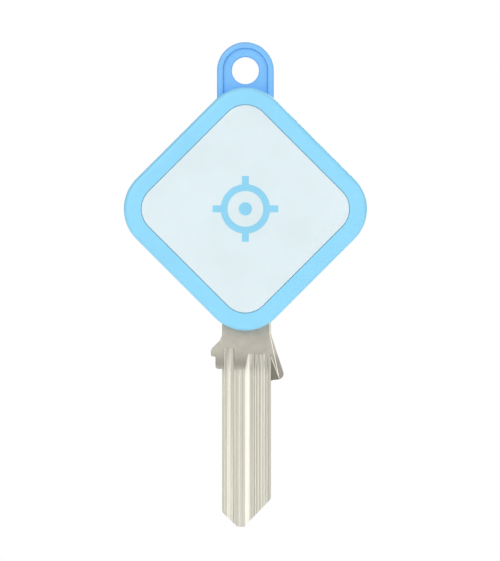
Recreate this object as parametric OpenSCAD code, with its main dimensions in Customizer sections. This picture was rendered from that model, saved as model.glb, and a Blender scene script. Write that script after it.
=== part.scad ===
// Key-head tracker tag: a coin-cell radio tracker built as the head of a house key blank.
//
// Frame: millimetres, +Z up, -Y is the front. The origin is the centre of the hanging
// eyelet, halfway through its web. The key blade hangs straight down and shares the
// plane y = 0. Modules below at_head() draw around the centre of the diamond head.

/* [Head] */
// Distance across two opposite flat sides of the diamond
head_flats = 34.2; // [33.6:0.2:36]
// Radius of the diamond's corners
head_corner_r = 7.4; // [6.6:0.2:8]
// Distance from the eyelet down to the head's centre
head_drop = 24.1; // [24:0.1:25]
// Half the head's thickness, front face to mid-plane
head_half_t = 4.3; // [4.3:0.1:5]
// Width of the bezel around the face button
bezel_w = 3.0; // [2.8:0.1:3.4]
// Thickness of the housing's side walls
wall = 1.3; // [1.2:0.1:1.4]
// Size of the chamfer on the head's outer edges
edge_chamfer = 0.6; // [0.3:0.1:0.7]

/* [Eyelet] */
// Radius of the eyelet hole
eyelet_r = 2.35; // [2:0.05:2.4]
// Outer radius of the lug round the hole
lug_r = 4.95; // [4.8:0.05:5.2]
// Width of the raised rim round the lug
lug_rim_w = 1.2; // [0.8:0.1:1.4]

/* [Key blade] */
// Thickness of the key blank's sheet
blade_t = 2.1; // [1.9:0.05:2.1]
// Height of the blade's tip below the eyelet
blade_tip_drop = 79.4; // [76:0.1:84]

/* [Coin cell] */
// Radius of the coin cell
cell_r = 10; // [9.9:0.05:10]
// Thickness of the coin cell
cell_t = 3.2; // [3:0.05:3.2]

/* [Motion] */
// Travel of the face button and of the switch plunger under it
press_travel = 0.25; // [0.15:0.05:0.25]
// Turn that frees the battery door
door_turn = 50; // [46:1:54]
// Rise of the battery door over that turn
door_rise = 0.4; // [0.3:0.05:0.4]

/* [Hidden] */
$fn = 96;
eps = 0.01;
fit_gap = 0.02;                            // clearance between parts that meet face to face

// Depth layers, from the front face (negative y) to the rear face (positive y)
front_y = -head_half_t;
rear_y = head_half_t;
seam_y = -1.4;                             // plane where the two shells meet
button_back_y = front_y + 1.1;
floor_front_y = button_back_y + press_travel + 0.1;
floor_back_y = floor_front_y + 0.6;
board_front_y = -1.2;
board_back_y = -0.4;
cell_front_y = 0;
cell_back_y = cell_front_y + cell_t;
plate_front_y = rear_y - 1.2;              // inner face of the rear plate

// Outlines
cavity_flats = head_flats - 2 * wall;
cavity_corner_r = head_corner_r - wall;
opening_flats = head_flats - 2 * bezel_w;
opening_corner_r = head_corner_r - bezel_w;
button_gap = 0.1;                          // clearance all round the face button
lap_t = 0.6;                               // thickness of the front shell's tongue
lap_gap = 0.1;
gasket_front_y = seam_y + 0.6;
gasket_back_y = gasket_front_y + 0.35;

// Battery door
door_flange_r = 12.5;
door_flange_y = rear_y - 0.65;
door_recess_r = door_flange_r + 0.1;
door_recess_y = door_flange_y - 0.15;
skirt_r = 10.95;
skirt_inner_r = cell_r + 0.2;
skirt_front_y = 1.55;
lug_tip_r = 11.65;                         // outer radius of the door's locking lugs
track_r = lug_tip_r + 0.1;
track_front_y = skirt_front_y - 0.05;
lug_back_y = 2.45;                         // where a lug meets its ramp, at the lug's middle
ramp_gap = 0.06;
ramp_tilt = atan(door_rise / (door_turn * PI / 180 * (skirt_r + lug_tip_r) / 2));
door_lugs = 3;
lug_arc = 24;
ledge_arc = 60;
well_r = cell_r + 0.3;
well_wall_r = 11.5;
door_wall_r = 12.9;
door_wall_y = blade_t / 2 + 0.05;
seal_r = 12.1;
seal_section_r = 0.25;
seal_y = door_recess_y + seal_section_r + fit_gap;
mark_angle = 90;                           // where the door's mark points when it is shut

// Screws, pins and tang
screw_r = 0.8;
screw_head_r = 1.4;
screw_seat_y = rear_y - 1.0;
cross_depth = 0.5;                         // cross in the screw's head
cross_arm = [1.7, 0.36];
screw_reach = 17.3;                        // screw distance from the head's centre
tang_screw_drop = 15.6;
boss_r = 1.5;
boss_joint_y = 0.5;                        // where a front boss meets a rear boss
pin_r = 1.0;
pin_x = 5.2;
pin_drop = 12.6;
tang_clear_r = 12.1;                       // the tang stays outside this circle
tang_top_drop = 9.7;                       // the tang's highest corners
tang_half_w = 7.0;
tang_seat_half_w = tang_half_w + 0.5;
neck_left = -4.05;
neck_right = 4.4;
blade_left = -4.05;
blade_right = 4.45;

// Buzzer and switch
buzzer_drop = -8.4;                        // above the head's centre
buzzer_r = 5.6;
switch_size = 3.6;
post_r = 1.5;                              // the button's post, which presses the switch
post_hole_r = post_r + 0.5;
plunger_front_y = -2.2;                    // where the post meets the switch's plunger
hook_reach = 12.6;                         // button hooks, midway along each side
hook_t = 0.8;
hook_w = 2.4;
barb_w = 0.5;
hook_end_y = floor_back_y + 0.6;
hook_slot_w = hook_t + barb_w + 0.2;       // lets the barb through while the hook is bent in
hook_slot_reach = hook_reach + hook_t / 2 + 0.1 - hook_slot_w / 2;
hook_slot_h = hook_w + 0.4;
port_r = 0.45;                             // sound ports in front of the buzzer
port_reach = 1.9;

// Board
board_across = 31.0;                       // across the flats of its eight sides
board_pad = [1.2, 2.4];                    // pads on the front shell that carry it
board_pad_x = 14.2;
board_pad_z = 5.5;

// Symbol and marks
symbol_depth = 0.3;
symbol_ring_r = 4.3;
symbol_stroke = 1.2;
symbol_dot_r = 1.15;
symbol_tick = 1.5;
mark_depth = 0.15;
mark_reach = 13.5;                         // shut and open marks, from the door's centre
shut_mark_r = 0.4;
open_mark_r = 0.5;
pointer_reach = 10.9;
pointer_r = 0.9;
coin_slot_half = 6.5;
coin_slot_w = 1.9;
coin_slot_depth = 0.5;

// Key wards, all milled from above the shoulder to the tip
narrow_top_z = -48.3;                      // front side: narrow ward
narrow_depth = 0.29;
wide_top_z = -49.3;                        // front side: wide ward
wide_depth = 0.45;
land_top_z = -51.9;                        // front side: shallow land between them
land_depth = 0.12;
rear_ward_depth = 0.65;
back_step_depth = 0.4;                     // rear side: step along the back edge

// Electronics: place of the middle from the head's centre, then width, height, thickness
radio_at = [-7.6, -3.6];
radio_size = [6, 6, 0.85];
radio_dot_r = 0.35;
antenna_at = [-13.4, 1.0];
antenna_size = [1.6, 5.2, 0.8];
crystals = [[[-7.2, 1.6], [2.0, 1.6, 0.5]], [[-12.6, -3.4], [1.2, 2.0, 0.5]]];
upright_chip = [0.6, 1.0];
flat_chip = [1.0, 0.6];
chip_pitch = 1.5;
capacitor_t = 0.5;
resistor_t = 0.35;
pad_r = 0.6;                               // test pads
pad_t = 0.04;
pad_pitch = 2;
pad_row_z = 13.2;

// Switch, buzzer, contacts and cell
switch_base_t = 0.55;
switch_bore_r = 1.45;
switch_cover_t = 0.1;
dome_rim_r = 1.35;
dome_rise = 0.22;
dome_t = 0.06;
plunger_r = 0.9;
plunger_flange_r = 1.25;
tape_t = 0.1;
tape_inner_r = 4.7;
plate_t = 0.12;                            // buzzer plate, and the ceramic on it
buzzer_front_y = floor_back_y + tape_t;
buzzer_back_y = buzzer_front_y + plate_t;
ceramic_r = 4.0;
spring_t = 0.12;
spring_w = 1.0;
spring_z = 5.8;
contact_t = 0.15;
contact_w = 2.4;
contact_angle = 135;                       // where the positive contact reaches round the cell
contact_gate = [2.4, 3];
can_wall = 0.3;
can_base_t = 0.25;
cell_cap_r = cell_r - 0.75;
pad_disc_r = 6;
pad_disc_t = 0.15;

// Lug
web_half_t = 0.9;
lug_foot = 8;                              // the lug's sides run this far below the eyelet
lug_root_inset = 0.5;                      // how far the lug's root goes into the side wall

// ---------------------------------------------------------------- helpers

// Moves its children from the head's centre to their place in the frame.
module at_head() { translate([0, 0, -head_drop]) children(); }

// Extrudes an outline drawn in x and z from y0 to y1.
module slab(y0, y1) {
    translate([0, y1, 0]) rotate([90, 0, 0]) linear_extrude(y1 - y0) children();
}

// A square stood on one corner, with round corners.
module diamond(flats, r) {
    rotate(45) union() {
        square([flats - 2 * r, flats], center = true);
        square([flats, flats - 2 * r], center = true);
        for (sx = [-1, 1], sy = [-1, 1])
            translate([sx, sy] * (flats / 2 - r)) circle(r);
    }
}

// A ring between two radii.
module ring(r_out, r_in) {
    difference() {
        circle(r_out);
        circle(r_in);
    }
}

// A wedge from the centre, from angle a0 to a1, under half a turn.
module wedge(a0, a1, reach = 40) {
    mid = (a0 + a1) / 2;
    polygon([
        [0, 0],
        reach * [cos(a0), sin(a0)],
        reach * [cos(mid), sin(mid)],
        reach * [cos(a1), sin(a1)]
    ]);
}

// Part of a ring, from angle a0 to a1.
module ring_sector(r_out, r_in, a0, a1) {
    intersection() {
        ring(r_out, r_in);
        wedge(a0, a1);
    }
}

// Everything on the front side of a ramp that crosses the radius at this angle.
module below_ramp(angle, y) {
    rotate([0, -angle, 0]) translate([0, y, 0]) rotate([ramp_tilt, 0, 0])
        translate([0, -10, -20]) cube([20, 10, 40]);
}

// Puts its children at the four screw places.
module at_screws() {
    for (a = [0, 90, 180])
        translate(screw_reach * [cos(a), sin(a)]) children();
    translate([0, -tang_screw_drop]) children();
}

// Puts its children at the two dowel places.
module at_pins() {
    for (side = [-1, 1]) translate([side * pin_x, -pin_drop]) children();
}

// A chamfered plate with the diamond's outline; the chamfer is on the side that dir points to.
module chamfered_diamond(y0, y1, flats, r, chamfer, dir) {
    plane_y = dir > 0 ? y1 - chamfer : y0 + chamfer;
    half = flats / 2;
    side = flats - 2 * r;
    union() {
        slab(dir > 0 ? y0 : plane_y, dir > 0 ? plane_y : y1) diamond(flats, r);
        translate([0, plane_y, 0]) rotate([dir > 0 ? -90 : 90, 0, 0]) rotate(45) {
            for (turn = [0, 90])
                rotate([90, 0, turn]) translate([0, 0, -side / 2]) linear_extrude(side)
                    polygon([
                        [-half, 0], [half, 0],
                        [half - chamfer, chamfer], [-half + chamfer, chamfer]
                    ]);
            for (sx = [-1, 1], sy = [-1, 1])
                translate([sx, sy, 0] * (half - r)) cylinder(h = chamfer, r1 = r, r2 = r - chamfer);
        }
    }
}

// ---------------------------------------------------------------- housing

// Outline of the corner below the battery well that holds the tang.
module tang_seat_outline() {
    difference() {
        intersection() {
            diamond(cavity_flats + 0.2, cavity_corner_r);
            translate([-tang_seat_half_w, -25]) square([2 * tang_seat_half_w, 25 - tang_top_drop]);
        }
        circle(well_wall_r - 0.1);
    }
}

// Slot in the walls that the key's neck leaves by.
module neck_slot() {
    translate([neck_left - 0.05, -25]) square([neck_right - neck_left + 0.1, 10]);
}

// The two halves of the tongue joint: a ring just inside the outer wall.
module lap_ring(gap) {
    difference() {
        diamond(cavity_flats + 2 * (lap_t + gap), cavity_corner_r + lap_t + gap);
        diamond(cavity_flats, cavity_corner_r);
    }
}

module front_shell() {
    color("#95DFFD") at_head() difference() {
        union() {
            difference() {
                chamfered_diamond(front_y, seam_y, head_flats, head_corner_r, edge_chamfer, -1);
                slab(front_y - 1, floor_front_y) diamond(opening_flats, opening_corner_r);
                slab(floor_back_y, seam_y + 1) diamond(cavity_flats, cavity_corner_r);
            }
            // tongue, cut away where the key's neck passes
            difference() {
                slab(seam_y - eps, gasket_front_y) lap_ring(0);
                slab(seam_y - 1, gasket_front_y + 1) neck_slot();
            }
            // chin that closes the neck's slot in front of the blade
            slab(seam_y - eps, -blade_t / 2 - fit_gap) intersection() {
                diamond(head_flats, head_corner_r);
                translate([neck_left, -25]) square([neck_right - neck_left, 10]);
            }
            // seat under the tang
            slab(floor_back_y - eps, -blade_t / 2 - fit_gap) tang_seat_outline();
            // screw bosses
            for (a = [0, 90, 180])
                slab(floor_back_y - eps, boss_joint_y - fit_gap)
                    translate(screw_reach * [cos(a), sin(a)]) circle(boss_r);
            // pads that the board rests on
            for (sx = [-1, 1], sz = [-1, 1])
                slab(floor_back_y - eps, board_front_y)
                    translate([sx * board_pad_x, sz * board_pad_z]) square(board_pad, center = true);
        }
        // pilot holes, blind
        slab(floor_back_y + 0.15, boss_joint_y + 1) at_screws() circle(screw_r);
        // dowel sockets, blind
        slab(floor_back_y + 0.15, 1) at_pins() circle(pin_r);
        // hole for the button's post
        slab(front_y, floor_back_y + 1) circle(post_hole_r);
        // slots for the button's hooks
        for (a = [45 : 90 : 315])
            slab(front_y, floor_back_y + 1)
                rotate(a) translate([hook_slot_reach, 0])
                    square([hook_slot_w, hook_slot_h], center = true);
        // sound ports above the buzzer
        for (a = [0 : 60 : 300])
            slab(front_y, floor_back_y + 1)
                at_buzzer() rotate(a) translate([port_reach, 0]) circle(port_r);
    }
}

// Rim, web and hole of the hanging lug.
module lug() {
    difference() {
        union() {
            slab(seam_y, -seam_y) difference() {
                lug_outline(0);
                lug_outline(lug_rim_w);
            }
            slab(-web_half_t, web_half_t) lug_outline(0);
        }
        slab(-3, 3) circle(eyelet_r);
    }
}

module lug_outline(inset) {
    circle(lug_r - inset);
    translate([-lug_r + inset, -lug_foot]) square([2 * (lug_r - inset), lug_foot]);
}

module rear_shell() {
    color("#7DBEF7") difference() {
        union() {
            at_head() difference() {
                chamfered_diamond(seam_y, rear_y, head_flats, head_corner_r, edge_chamfer, 1);
                slab(seam_y - 1, plate_front_y) diamond(cavity_flats, cavity_corner_r);
                slab(seam_y - 1, gasket_back_y) lap_ring(lap_gap);
            }
            intersection() {
                lug();
                // keeps the lug out of the cavity
                slab(-3, 3) difference() {
                    circle(lug_foot + 4);
                    translate([0, -head_drop])
                        diamond(head_flats - 2 * lug_root_inset, head_corner_r - lug_root_inset);
                }
            }
            at_head() {
                slab(board_back_y + 0.05, plate_front_y + eps) circle(well_wall_r);
                slab(door_wall_y, plate_front_y + eps) circle(door_wall_r);
                for (a = [0, 90, 180])
                    slab(boss_joint_y, plate_front_y + eps)
                        translate(screw_reach * [cos(a), sin(a)]) circle(boss_r + 0.1);
                slab(blade_t / 2 + fit_gap, plate_front_y + eps) tang_seat_outline();
            }
        }
        at_head() {
            // battery well, track for the lugs and door recess
            slab(-2, track_front_y + eps) circle(well_r);
            slab(track_front_y, rear_y) circle(skirt_r + 0.1);
            slab(door_recess_y, rear_y + 1) circle(door_recess_r);
            for (i = [0 : door_lugs - 1]) {
                centre = mark_angle + i * 360 / door_lugs;
                slab(track_front_y, door_recess_y + eps)
                    ring_sector(track_r, skirt_r, centre - ledge_arc * 1.5, centre - ledge_arc / 2);
                intersection() {
                    slab(track_front_y, door_recess_y - 0.3)
                        ring_sector(track_r, skirt_r, centre - ledge_arc / 2, centre + ledge_arc / 2);
                    below_ramp(centre, lug_back_y + ramp_gap);
                }
            }
            // screw holes and head recesses
            slab(-2, rear_y + 1) at_screws() circle(screw_r + 0.1);
            slab(screw_seat_y, rear_y + 1) at_screws() circle(screw_head_r + 0.1);
            // dowel sockets, blind
            slab(-2, plate_front_y - 0.4) at_pins() circle(pin_r);
            // way out for the key's neck
            slab(seam_y - 1, blade_t / 2 + fit_gap) neck_slot();
            // gate for the positive contact
            slab(-2, 1.4) rotate(contact_angle)
                translate([well_r - 0.5, -contact_gate[1] / 2]) square(contact_gate);
            // shut and open marks beside the door
            slab(rear_y - mark_depth, rear_y + 1) {
                rotate(mark_angle) translate([mark_reach, 0]) circle(shut_mark_r);
                rotate(mark_angle - door_turn) translate([mark_reach, 0])
                    ring(open_mark_r, open_mark_r / 2);
            }
        }
    }
}

module face_button() {
    flats = opening_flats - 2 * button_gap;
    corner_r = opening_corner_r - button_gap;
    color("#E0EEF2") at_head() difference() {
        union() {
            slab(front_y, button_back_y) diamond(flats, corner_r);
            slab(button_back_y - eps, plunger_front_y) circle(post_r);
            for (a = [45 : 90 : 315]) rotate([0, -a, 0]) {
                slab(button_back_y - eps, hook_end_y)
                    translate([hook_reach, 0]) square([hook_t, hook_w], center = true);
                slab(floor_back_y + fit_gap, hook_end_y)
                    translate([hook_reach, -hook_w / 2]) square([hook_t / 2 + barb_w, hook_w]);
            }
        }
        slab(front_y - 1, front_y + symbol_depth) symbol_outline();
    }
}

// A plain "find me" sign: a ring with four ticks and a centre dot.
module symbol_outline() {
    ring(symbol_ring_r, symbol_ring_r - symbol_stroke);
    circle(symbol_dot_r);
    for (a = [0 : 90 : 270]) rotate(a)
        translate([symbol_ring_r - 0.1, -symbol_stroke / 2]) square([symbol_tick, symbol_stroke]);
}

module button_symbol() {
    color("#90D6F2") at_head() slab(front_y, front_y + symbol_depth) symbol_outline();
}

module seam_gasket() {
    color("#4A5560") at_head() difference() {
        slab(gasket_front_y, gasket_back_y) lap_ring(0);
        slab(gasket_front_y - 1, gasket_back_y + 1) neck_slot();
    }
}

module housing_screws() {
    tip_y = floor_back_y + 0.2;
    head_back_y = rear_y - 0.15;
    color("#B9BDC1") at_head() for (place = concat(
            [for (a = [0, 90, 180]) screw_reach * [cos(a), sin(a)]],
            [[0, -tang_screw_drop]]))
        translate([place[0], 0, place[1]]) difference() {
            union() {
                slab(tip_y, screw_seat_y + eps) circle(screw_r);
                slab(screw_seat_y, head_back_y) circle(screw_head_r);
            }
            for (turn = [0, 90])
                slab(head_back_y - cross_depth, rear_y) rotate(turn) square(cross_arm, center = true);
        }
}

// ---------------------------------------------------------------- key

// Outline of the blank below the head: neck, shoulders, blade and tip.
function shank_points() = [
    [neck_right, -40], [neck_right, -46.4], [6.45, -52.3], [6.3, -53.0], [5.7, -53.5],
    [4.9, -53.7], [blade_right, -53.9], [blade_right, -blade_tip_drop + 5.0],
    [0.1, -blade_tip_drop + 0.35], [-0.35, -blade_tip_drop], [-1.3, -blade_tip_drop],
    [-1.75, -blade_tip_drop + 0.3], [blade_left, -blade_tip_drop + 2.5],
    [blade_left, -51.9], [-4.7, -51.9], [-5.1, -51.6], [-5.2, -51.1], [-5.2, -50.1],
    [-5.7, -49.6], [-5.95, -49.1], [-5.8, -48.4], [-5.2, -47.8], [-4.35, -47.0],
    [neck_left, -46.1], [neck_left, -40]
];

// Outline of the tang that the shells clamp, drawn from the head's centre.
module tang_outline() {
    difference() {
        polygon([
            [neck_left, -22], [neck_left, -17.4], [-tang_half_w, -14.6],
            [-tang_half_w, -tang_top_drop - 0.1], [tang_half_w, -tang_top_drop - 0.1],
            [tang_half_w, -14.6], [neck_right, -17.4], [neck_right, -22]
        ]);
        circle(tang_clear_r);
    }
}

// A groove along the blade, from start_z down past the tip, with the profile in x and y.
module groove(start_z, profile) {
    translate([0, 0, -blade_tip_drop - 1])
        linear_extrude(start_z + blade_tip_drop + 1) polygon(profile);
}

module key_blade() {
    face = blade_t / 2;
    narrow_y = -face + narrow_depth;
    land_y = -face + land_depth;
    wide_y = -face + wide_depth;
    ward_y = face - rear_ward_depth;
    step_y = face - back_step_depth;
    color("#B9B8AC") difference() {
        union() {
            slab(-face, face) polygon(shank_points());
            at_head() slab(-face, face) tang_outline();
        }
        // front side: a narrow ward, a shallow land and a wide ward
        groove(narrow_top_z, [[-3.88, -face - 1], [-3.88, -face], [-3.52, narrow_y],
            [-2.1, narrow_y], [-1.92, -face], [-1.92, -face - 1]]);
        groove(land_top_z, [[-1.95, -face - 1], [-1.95, land_y], [-0.1, land_y],
            [-0.1, -face - 1]]);
        groove(wide_top_z, [[-0.2, -face - 1], [-0.2, -face], [0.65, wide_y], [5, wide_y],
            [5, -face - 1]]);
        // rear side: a wide ward under the land and a step along the back edge
        groove(wide_top_z, [[0.9, face + 1], [0.9, face], [1.4, ward_y], [2.6, ward_y],
            [3.1, face], [3.1, face + 1]]);
        groove(land_top_z, [[-5, face + 1], [-5, step_y], [-3.1, step_y], [-2.7, face],
            [-2.7, face + 1]]);
        at_head() slab(-3, 3) {
            translate([0, -tang_screw_drop]) circle(screw_r + 0.1);
            at_pins() circle(pin_r);
        }
    }
}

module blade_pins() {
    color("#9DA1A5") at_head()
        slab(floor_back_y + 0.2, plate_front_y - 0.45) at_pins() circle(pin_r);
}

// ---------------------------------------------------------------- electronics

module circuit_board() {
    color("#1F6B4A") at_head() slab(board_front_y, board_back_y) intersection() {
        rotate(45) square(board_across, center = true);
        square(board_across, center = true);
        union() {
            translate([-20, -tang_top_drop + 0.2]) square([40, 30]);
            circle(well_wall_r - 0.3);
        }
    }
}

// A small box-shaped component on the board's front, size is width, height and thickness.
module component(place, size) {
    slab(board_front_y - size[2], board_front_y)
        translate(place) square([size[0], size[1]], center = true);
}

// A row of identical chips, the first one at this place.
module chip_row(count, place, step, outline, t) {
    for (i = [0 : count - 1]) component(place + i * step, concat(outline, [t]));
}

module radio_chip() {
    front = board_front_y - radio_size[2];
    corner = [-radio_size[0], radio_size[1]] / 2;
    color("#26282B") at_head() difference() {
        component(radio_at, radio_size);
        slab(front - 0.1, front + 0.05) translate(radio_at + corner + [0.7, -0.7]) circle(radio_dot_r);
    }
}

module antenna_chip() { color("#D9D4C4") at_head() component(antenna_at, antenna_size); }

module timing_crystals() {
    color("#C9B458") at_head() for (crystal = crystals) component(crystal[0], crystal[1]);
}

module chip_capacitors() {
    color("#B58A5A") at_head() {
        chip_row(4, [-7.0, -8.2], [chip_pitch, 0], upright_chip, capacitor_t);
        chip_row(4, [5.2, -5.9], [chip_pitch, 0], upright_chip, capacitor_t);
        chip_row(2, [-9.6, 3.6], [0, chip_pitch], flat_chip, capacitor_t);
    }
}

module chip_resistors() {
    color("#2E3033") at_head() {
        chip_row(3, [5.2, -3.8], [chip_pitch, 0], upright_chip, resistor_t);
        chip_row(3, [11.8, -3.8], [0, chip_pitch], flat_chip, resistor_t);
    }
}

module test_pads() {
    color("#D8B24A") at_head() for (i = [-2 : 2])
        slab(board_back_y, board_back_y + pad_t) translate([i * pad_pitch, pad_row_z]) circle(pad_r);
}

module switch_base() {
    front = board_front_y - switch_base_t;
    color("#3A3D40") at_head() difference() {
        slab(front, board_front_y) square(switch_size, center = true);
        slab(front - 1, board_front_y - 0.1) circle(switch_bore_r);
    }
}

module switch_cover() {
    back = board_front_y - switch_base_t;
    color("#C4C8CB") at_head() slab(back - switch_cover_t, back) difference() {
        square(switch_size, center = true);
        circle(plunger_r + 0.1);
    }
}

module snap_dome() {
    rim_y = board_front_y - 0.1;
    dome_r = (dome_rim_r * dome_rim_r + dome_rise * dome_rise) / (2 * dome_rise);
    color("#D5D8DA") at_head() intersection() {
        translate([0, rim_y - dome_rise + dome_r, 0]) difference() {
            sphere(dome_r);
            sphere(dome_r - dome_t);
        }
        slab(rim_y - 1, rim_y) circle(dome_rim_r);
    }
}

module switch_plunger() {
    color("#F2F2F0") at_head() {
        slab(plunger_front_y, board_front_y - 0.45) circle(plunger_r);
        slab(board_front_y - 0.54, board_front_y - 0.42) circle(plunger_flange_r);
    }
}

module at_buzzer() { translate([0, -buzzer_drop]) children(); }

module buzzer_adhesive() {
    color("#E8E4D2") at_head() slab(floor_back_y, floor_back_y + tape_t)
        at_buzzer() ring(buzzer_r, tape_inner_r);
}

module buzzer_plate() {
    color("#CFA64B") at_head() slab(buzzer_front_y, buzzer_back_y) at_buzzer() circle(buzzer_r);
}

module buzzer_ceramic() {
    color("#E9E6DE") at_head() slab(buzzer_back_y, buzzer_back_y + plate_t)
        at_buzzer() circle(ceramic_r);
}

// A bent strip that stands on the board, its foot at this place, and presses on the buzzer.
module leaf_spring(x, top_y) {
    base = board_front_y;
    sole = base - spring_t;
    translate([x - spring_w / 2, 0, spring_z]) rotate([90, 0, 90]) linear_extrude(spring_w)
        polygon([
            [base, 0], [base, 1.8], [sole, 1.8], [sole, 0.35],
            [top_y + spring_t, 2.2], [top_y + spring_t + 0.18, 2.9], [top_y + 0.18, 2.9],
            [top_y, 2.2], [sole, 0.05], [sole, 0]
        ]);
}

module buzzer_springs() {
    color("#D9B860") at_head() {
        leaf_spring(0, buzzer_back_y + plate_t);
        leaf_spring(4.8, buzzer_back_y);
    }
}

module positive_contact() {
    color("#D9B860") at_head() rotate([0, -contact_angle, 0]) {
        slab(board_back_y, 1.3)
            translate([cell_r, -contact_w / 2]) square([contact_t, contact_w]);
        slab(board_back_y, board_back_y + contact_t)
            translate([cell_r, -contact_w / 2]) square([2.6, contact_w]);
    }
}

module negative_contact() {
    back = board_back_y;
    touch = cell_front_y;
    color("#D9B860") at_head() {
        slab(back, back + contact_t) circle(2.6);
        for (a = [30 : 120 : 270]) rotate([0, -a, 0])
            translate([0, 0, -0.8]) linear_extrude(1.6) polygon([
                [2.2, back], [2.2, back + contact_t], [2.8, back + contact_t], [6.0, touch],
                [7.0, touch - 0.14], [7.0, touch - 0.26], [6.0, touch - 0.14], [2.9, back]
            ]);
    }
}

module cell_can() {
    color("#C8CBCE") at_head() difference() {
        slab(cell_front_y + 0.35, cell_back_y) circle(cell_r);
        slab(cell_front_y - 1, cell_back_y - can_base_t) circle(cell_r - can_wall);
    }
}

module cell_gasket() {
    color("#DDDDD5") at_head() slab(cell_front_y + 0.2, cell_back_y - can_base_t)
        ring(cell_r - can_wall, cell_cap_r);
}

module cell_cap() {
    color("#B9BDC0") at_head() union() {
        slab(cell_front_y, cell_front_y + 0.5) circle(cell_cap_r - 0.65);
        slab(cell_front_y + 0.45, cell_back_y - can_base_t) circle(cell_cap_r);
    }
}

// Foam disc inside the door that keeps the cell from rattling.
module cell_pad() {
    color("#3D4247") at_head() slab(cell_back_y, cell_back_y + pad_disc_t) circle(pad_disc_r);
}

// ---------------------------------------------------------------- battery door

module door_seal() {
    color("#2B2E31") at_head() translate([0, seal_y, 0]) rotate([90, 0, 0])
        rotate_extrude() translate([seal_r, 0]) circle(seal_section_r, $fn = 24);
}

module battery_door() {
    color("#7DBEF7") at_head() difference() {
        union() {
            slab(door_flange_y, rear_y) circle(door_flange_r);
            slab(cell_back_y + pad_disc_t, door_flange_y + eps) circle(skirt_r);
            slab(skirt_front_y, cell_back_y + 0.2) ring(skirt_r, skirt_inner_r);
            for (i = [0 : door_lugs - 1]) {
                centre = mark_angle + i * 360 / door_lugs;
                intersection() {
                    slab(skirt_front_y + 0.05, lug_back_y + 1)
                        ring_sector(lug_tip_r, skirt_r - 0.2, centre - lug_arc / 2, centre + lug_arc / 2);
                    below_ramp(centre, lug_back_y);
                }
            }
        }
        // groove for the seal
        slab(door_flange_y - 1, seal_y + seal_section_r + fit_gap)
            ring(seal_r + seal_section_r + 0.05, seal_r - seal_section_r - 0.05);
        // coin slot and the mark that points at the shut dot
        slab(rear_y - coin_slot_depth, rear_y + 1) {
            square([2 * coin_slot_half, coin_slot_w], center = true);
            for (side = [-1, 1]) translate([side * coin_slot_half, 0]) circle(coin_slot_w / 2);
        }
        slab(rear_y - mark_depth, rear_y + 1)
            rotate(mark_angle) translate([pointer_reach, 0]) circle(pointer_r, $fn = 3);
    }
}

front_shell();
rear_shell();
face_button();
button_symbol();
seam_gasket();
housing_screws();
key_blade();
blade_pins();
circuit_board();
radio_chip();
antenna_chip();
timing_crystals();
chip_capacitors();
chip_resistors();
test_pads();
switch_base();
switch_cover();
snap_dome();
switch_plunger();
buzzer_adhesive();
buzzer_plate();
buzzer_ceramic();
buzzer_springs();
positive_contact();
negative_contact();
cell_can();
cell_gasket();
cell_cap();
cell_pad();
door_seal();
battery_door();
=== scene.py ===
"""Builds the looks of a key-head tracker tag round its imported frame.

The shells, the face button, the battery door, the screws and the key blade are modelled here and stand for their
frame nodes. The parts inside the case are the frame's own solids, dressed with materials of their own.
"""

import logging
import math
from dataclasses import dataclass
from enum import Enum
from typing import Callable, Iterable, Sequence

import bmesh
import bpy
from mathutils import Matrix, Vector


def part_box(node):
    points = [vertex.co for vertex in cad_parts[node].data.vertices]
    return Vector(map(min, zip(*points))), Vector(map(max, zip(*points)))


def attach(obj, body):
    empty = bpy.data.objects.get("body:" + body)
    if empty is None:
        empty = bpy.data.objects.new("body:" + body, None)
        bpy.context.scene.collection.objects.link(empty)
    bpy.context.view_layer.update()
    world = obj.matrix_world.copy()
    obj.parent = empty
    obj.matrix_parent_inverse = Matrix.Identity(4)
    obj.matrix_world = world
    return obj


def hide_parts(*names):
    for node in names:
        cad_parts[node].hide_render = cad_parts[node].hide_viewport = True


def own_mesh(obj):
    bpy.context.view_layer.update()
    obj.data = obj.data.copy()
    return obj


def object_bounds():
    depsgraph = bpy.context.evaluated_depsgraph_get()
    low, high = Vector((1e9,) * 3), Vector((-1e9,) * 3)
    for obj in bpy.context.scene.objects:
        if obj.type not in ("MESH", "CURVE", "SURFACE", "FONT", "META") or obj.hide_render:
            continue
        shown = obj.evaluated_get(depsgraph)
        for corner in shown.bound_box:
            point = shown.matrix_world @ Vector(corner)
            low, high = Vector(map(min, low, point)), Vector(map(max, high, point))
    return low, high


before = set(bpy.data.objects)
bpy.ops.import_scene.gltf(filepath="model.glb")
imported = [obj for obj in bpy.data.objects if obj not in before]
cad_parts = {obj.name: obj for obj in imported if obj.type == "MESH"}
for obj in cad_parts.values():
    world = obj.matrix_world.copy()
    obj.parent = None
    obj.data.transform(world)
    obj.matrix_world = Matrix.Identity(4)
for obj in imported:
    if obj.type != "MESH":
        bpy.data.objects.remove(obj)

LOG = logging.getLogger("tracker_tag")
MM = 0.001
TINY = 1e-7
CRISP = 0.5                                        # least angle of an edge that is rounded, in radians
FACE_ON = Matrix.Rotation(math.pi / 2, 4, "X")     # stands a flat shape up in the X-Z plane
CAD_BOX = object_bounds()

LAP = 0.3 * MM                                     # how far joined shapes reach into each other
CLEAR = 0.02 * MM                                  # gap between the key and the shells that clamp it
PAST = 1 * MM                                      # how far a cutting tool goes past what it cuts
ROUND_END = 0.999                                  # share of half a side that a round end takes up

Corner = tuple[float, float, float]
Point = tuple[float, float]
Colour = tuple[float, float, float]
Span = tuple[float, float]


class Cut(Enum):
    """What a tool shape does to the piece it meets."""

    REMOVE = "DIFFERENCE"
    ADD = "UNION"
    KEEP = "INTERSECT"


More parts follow.
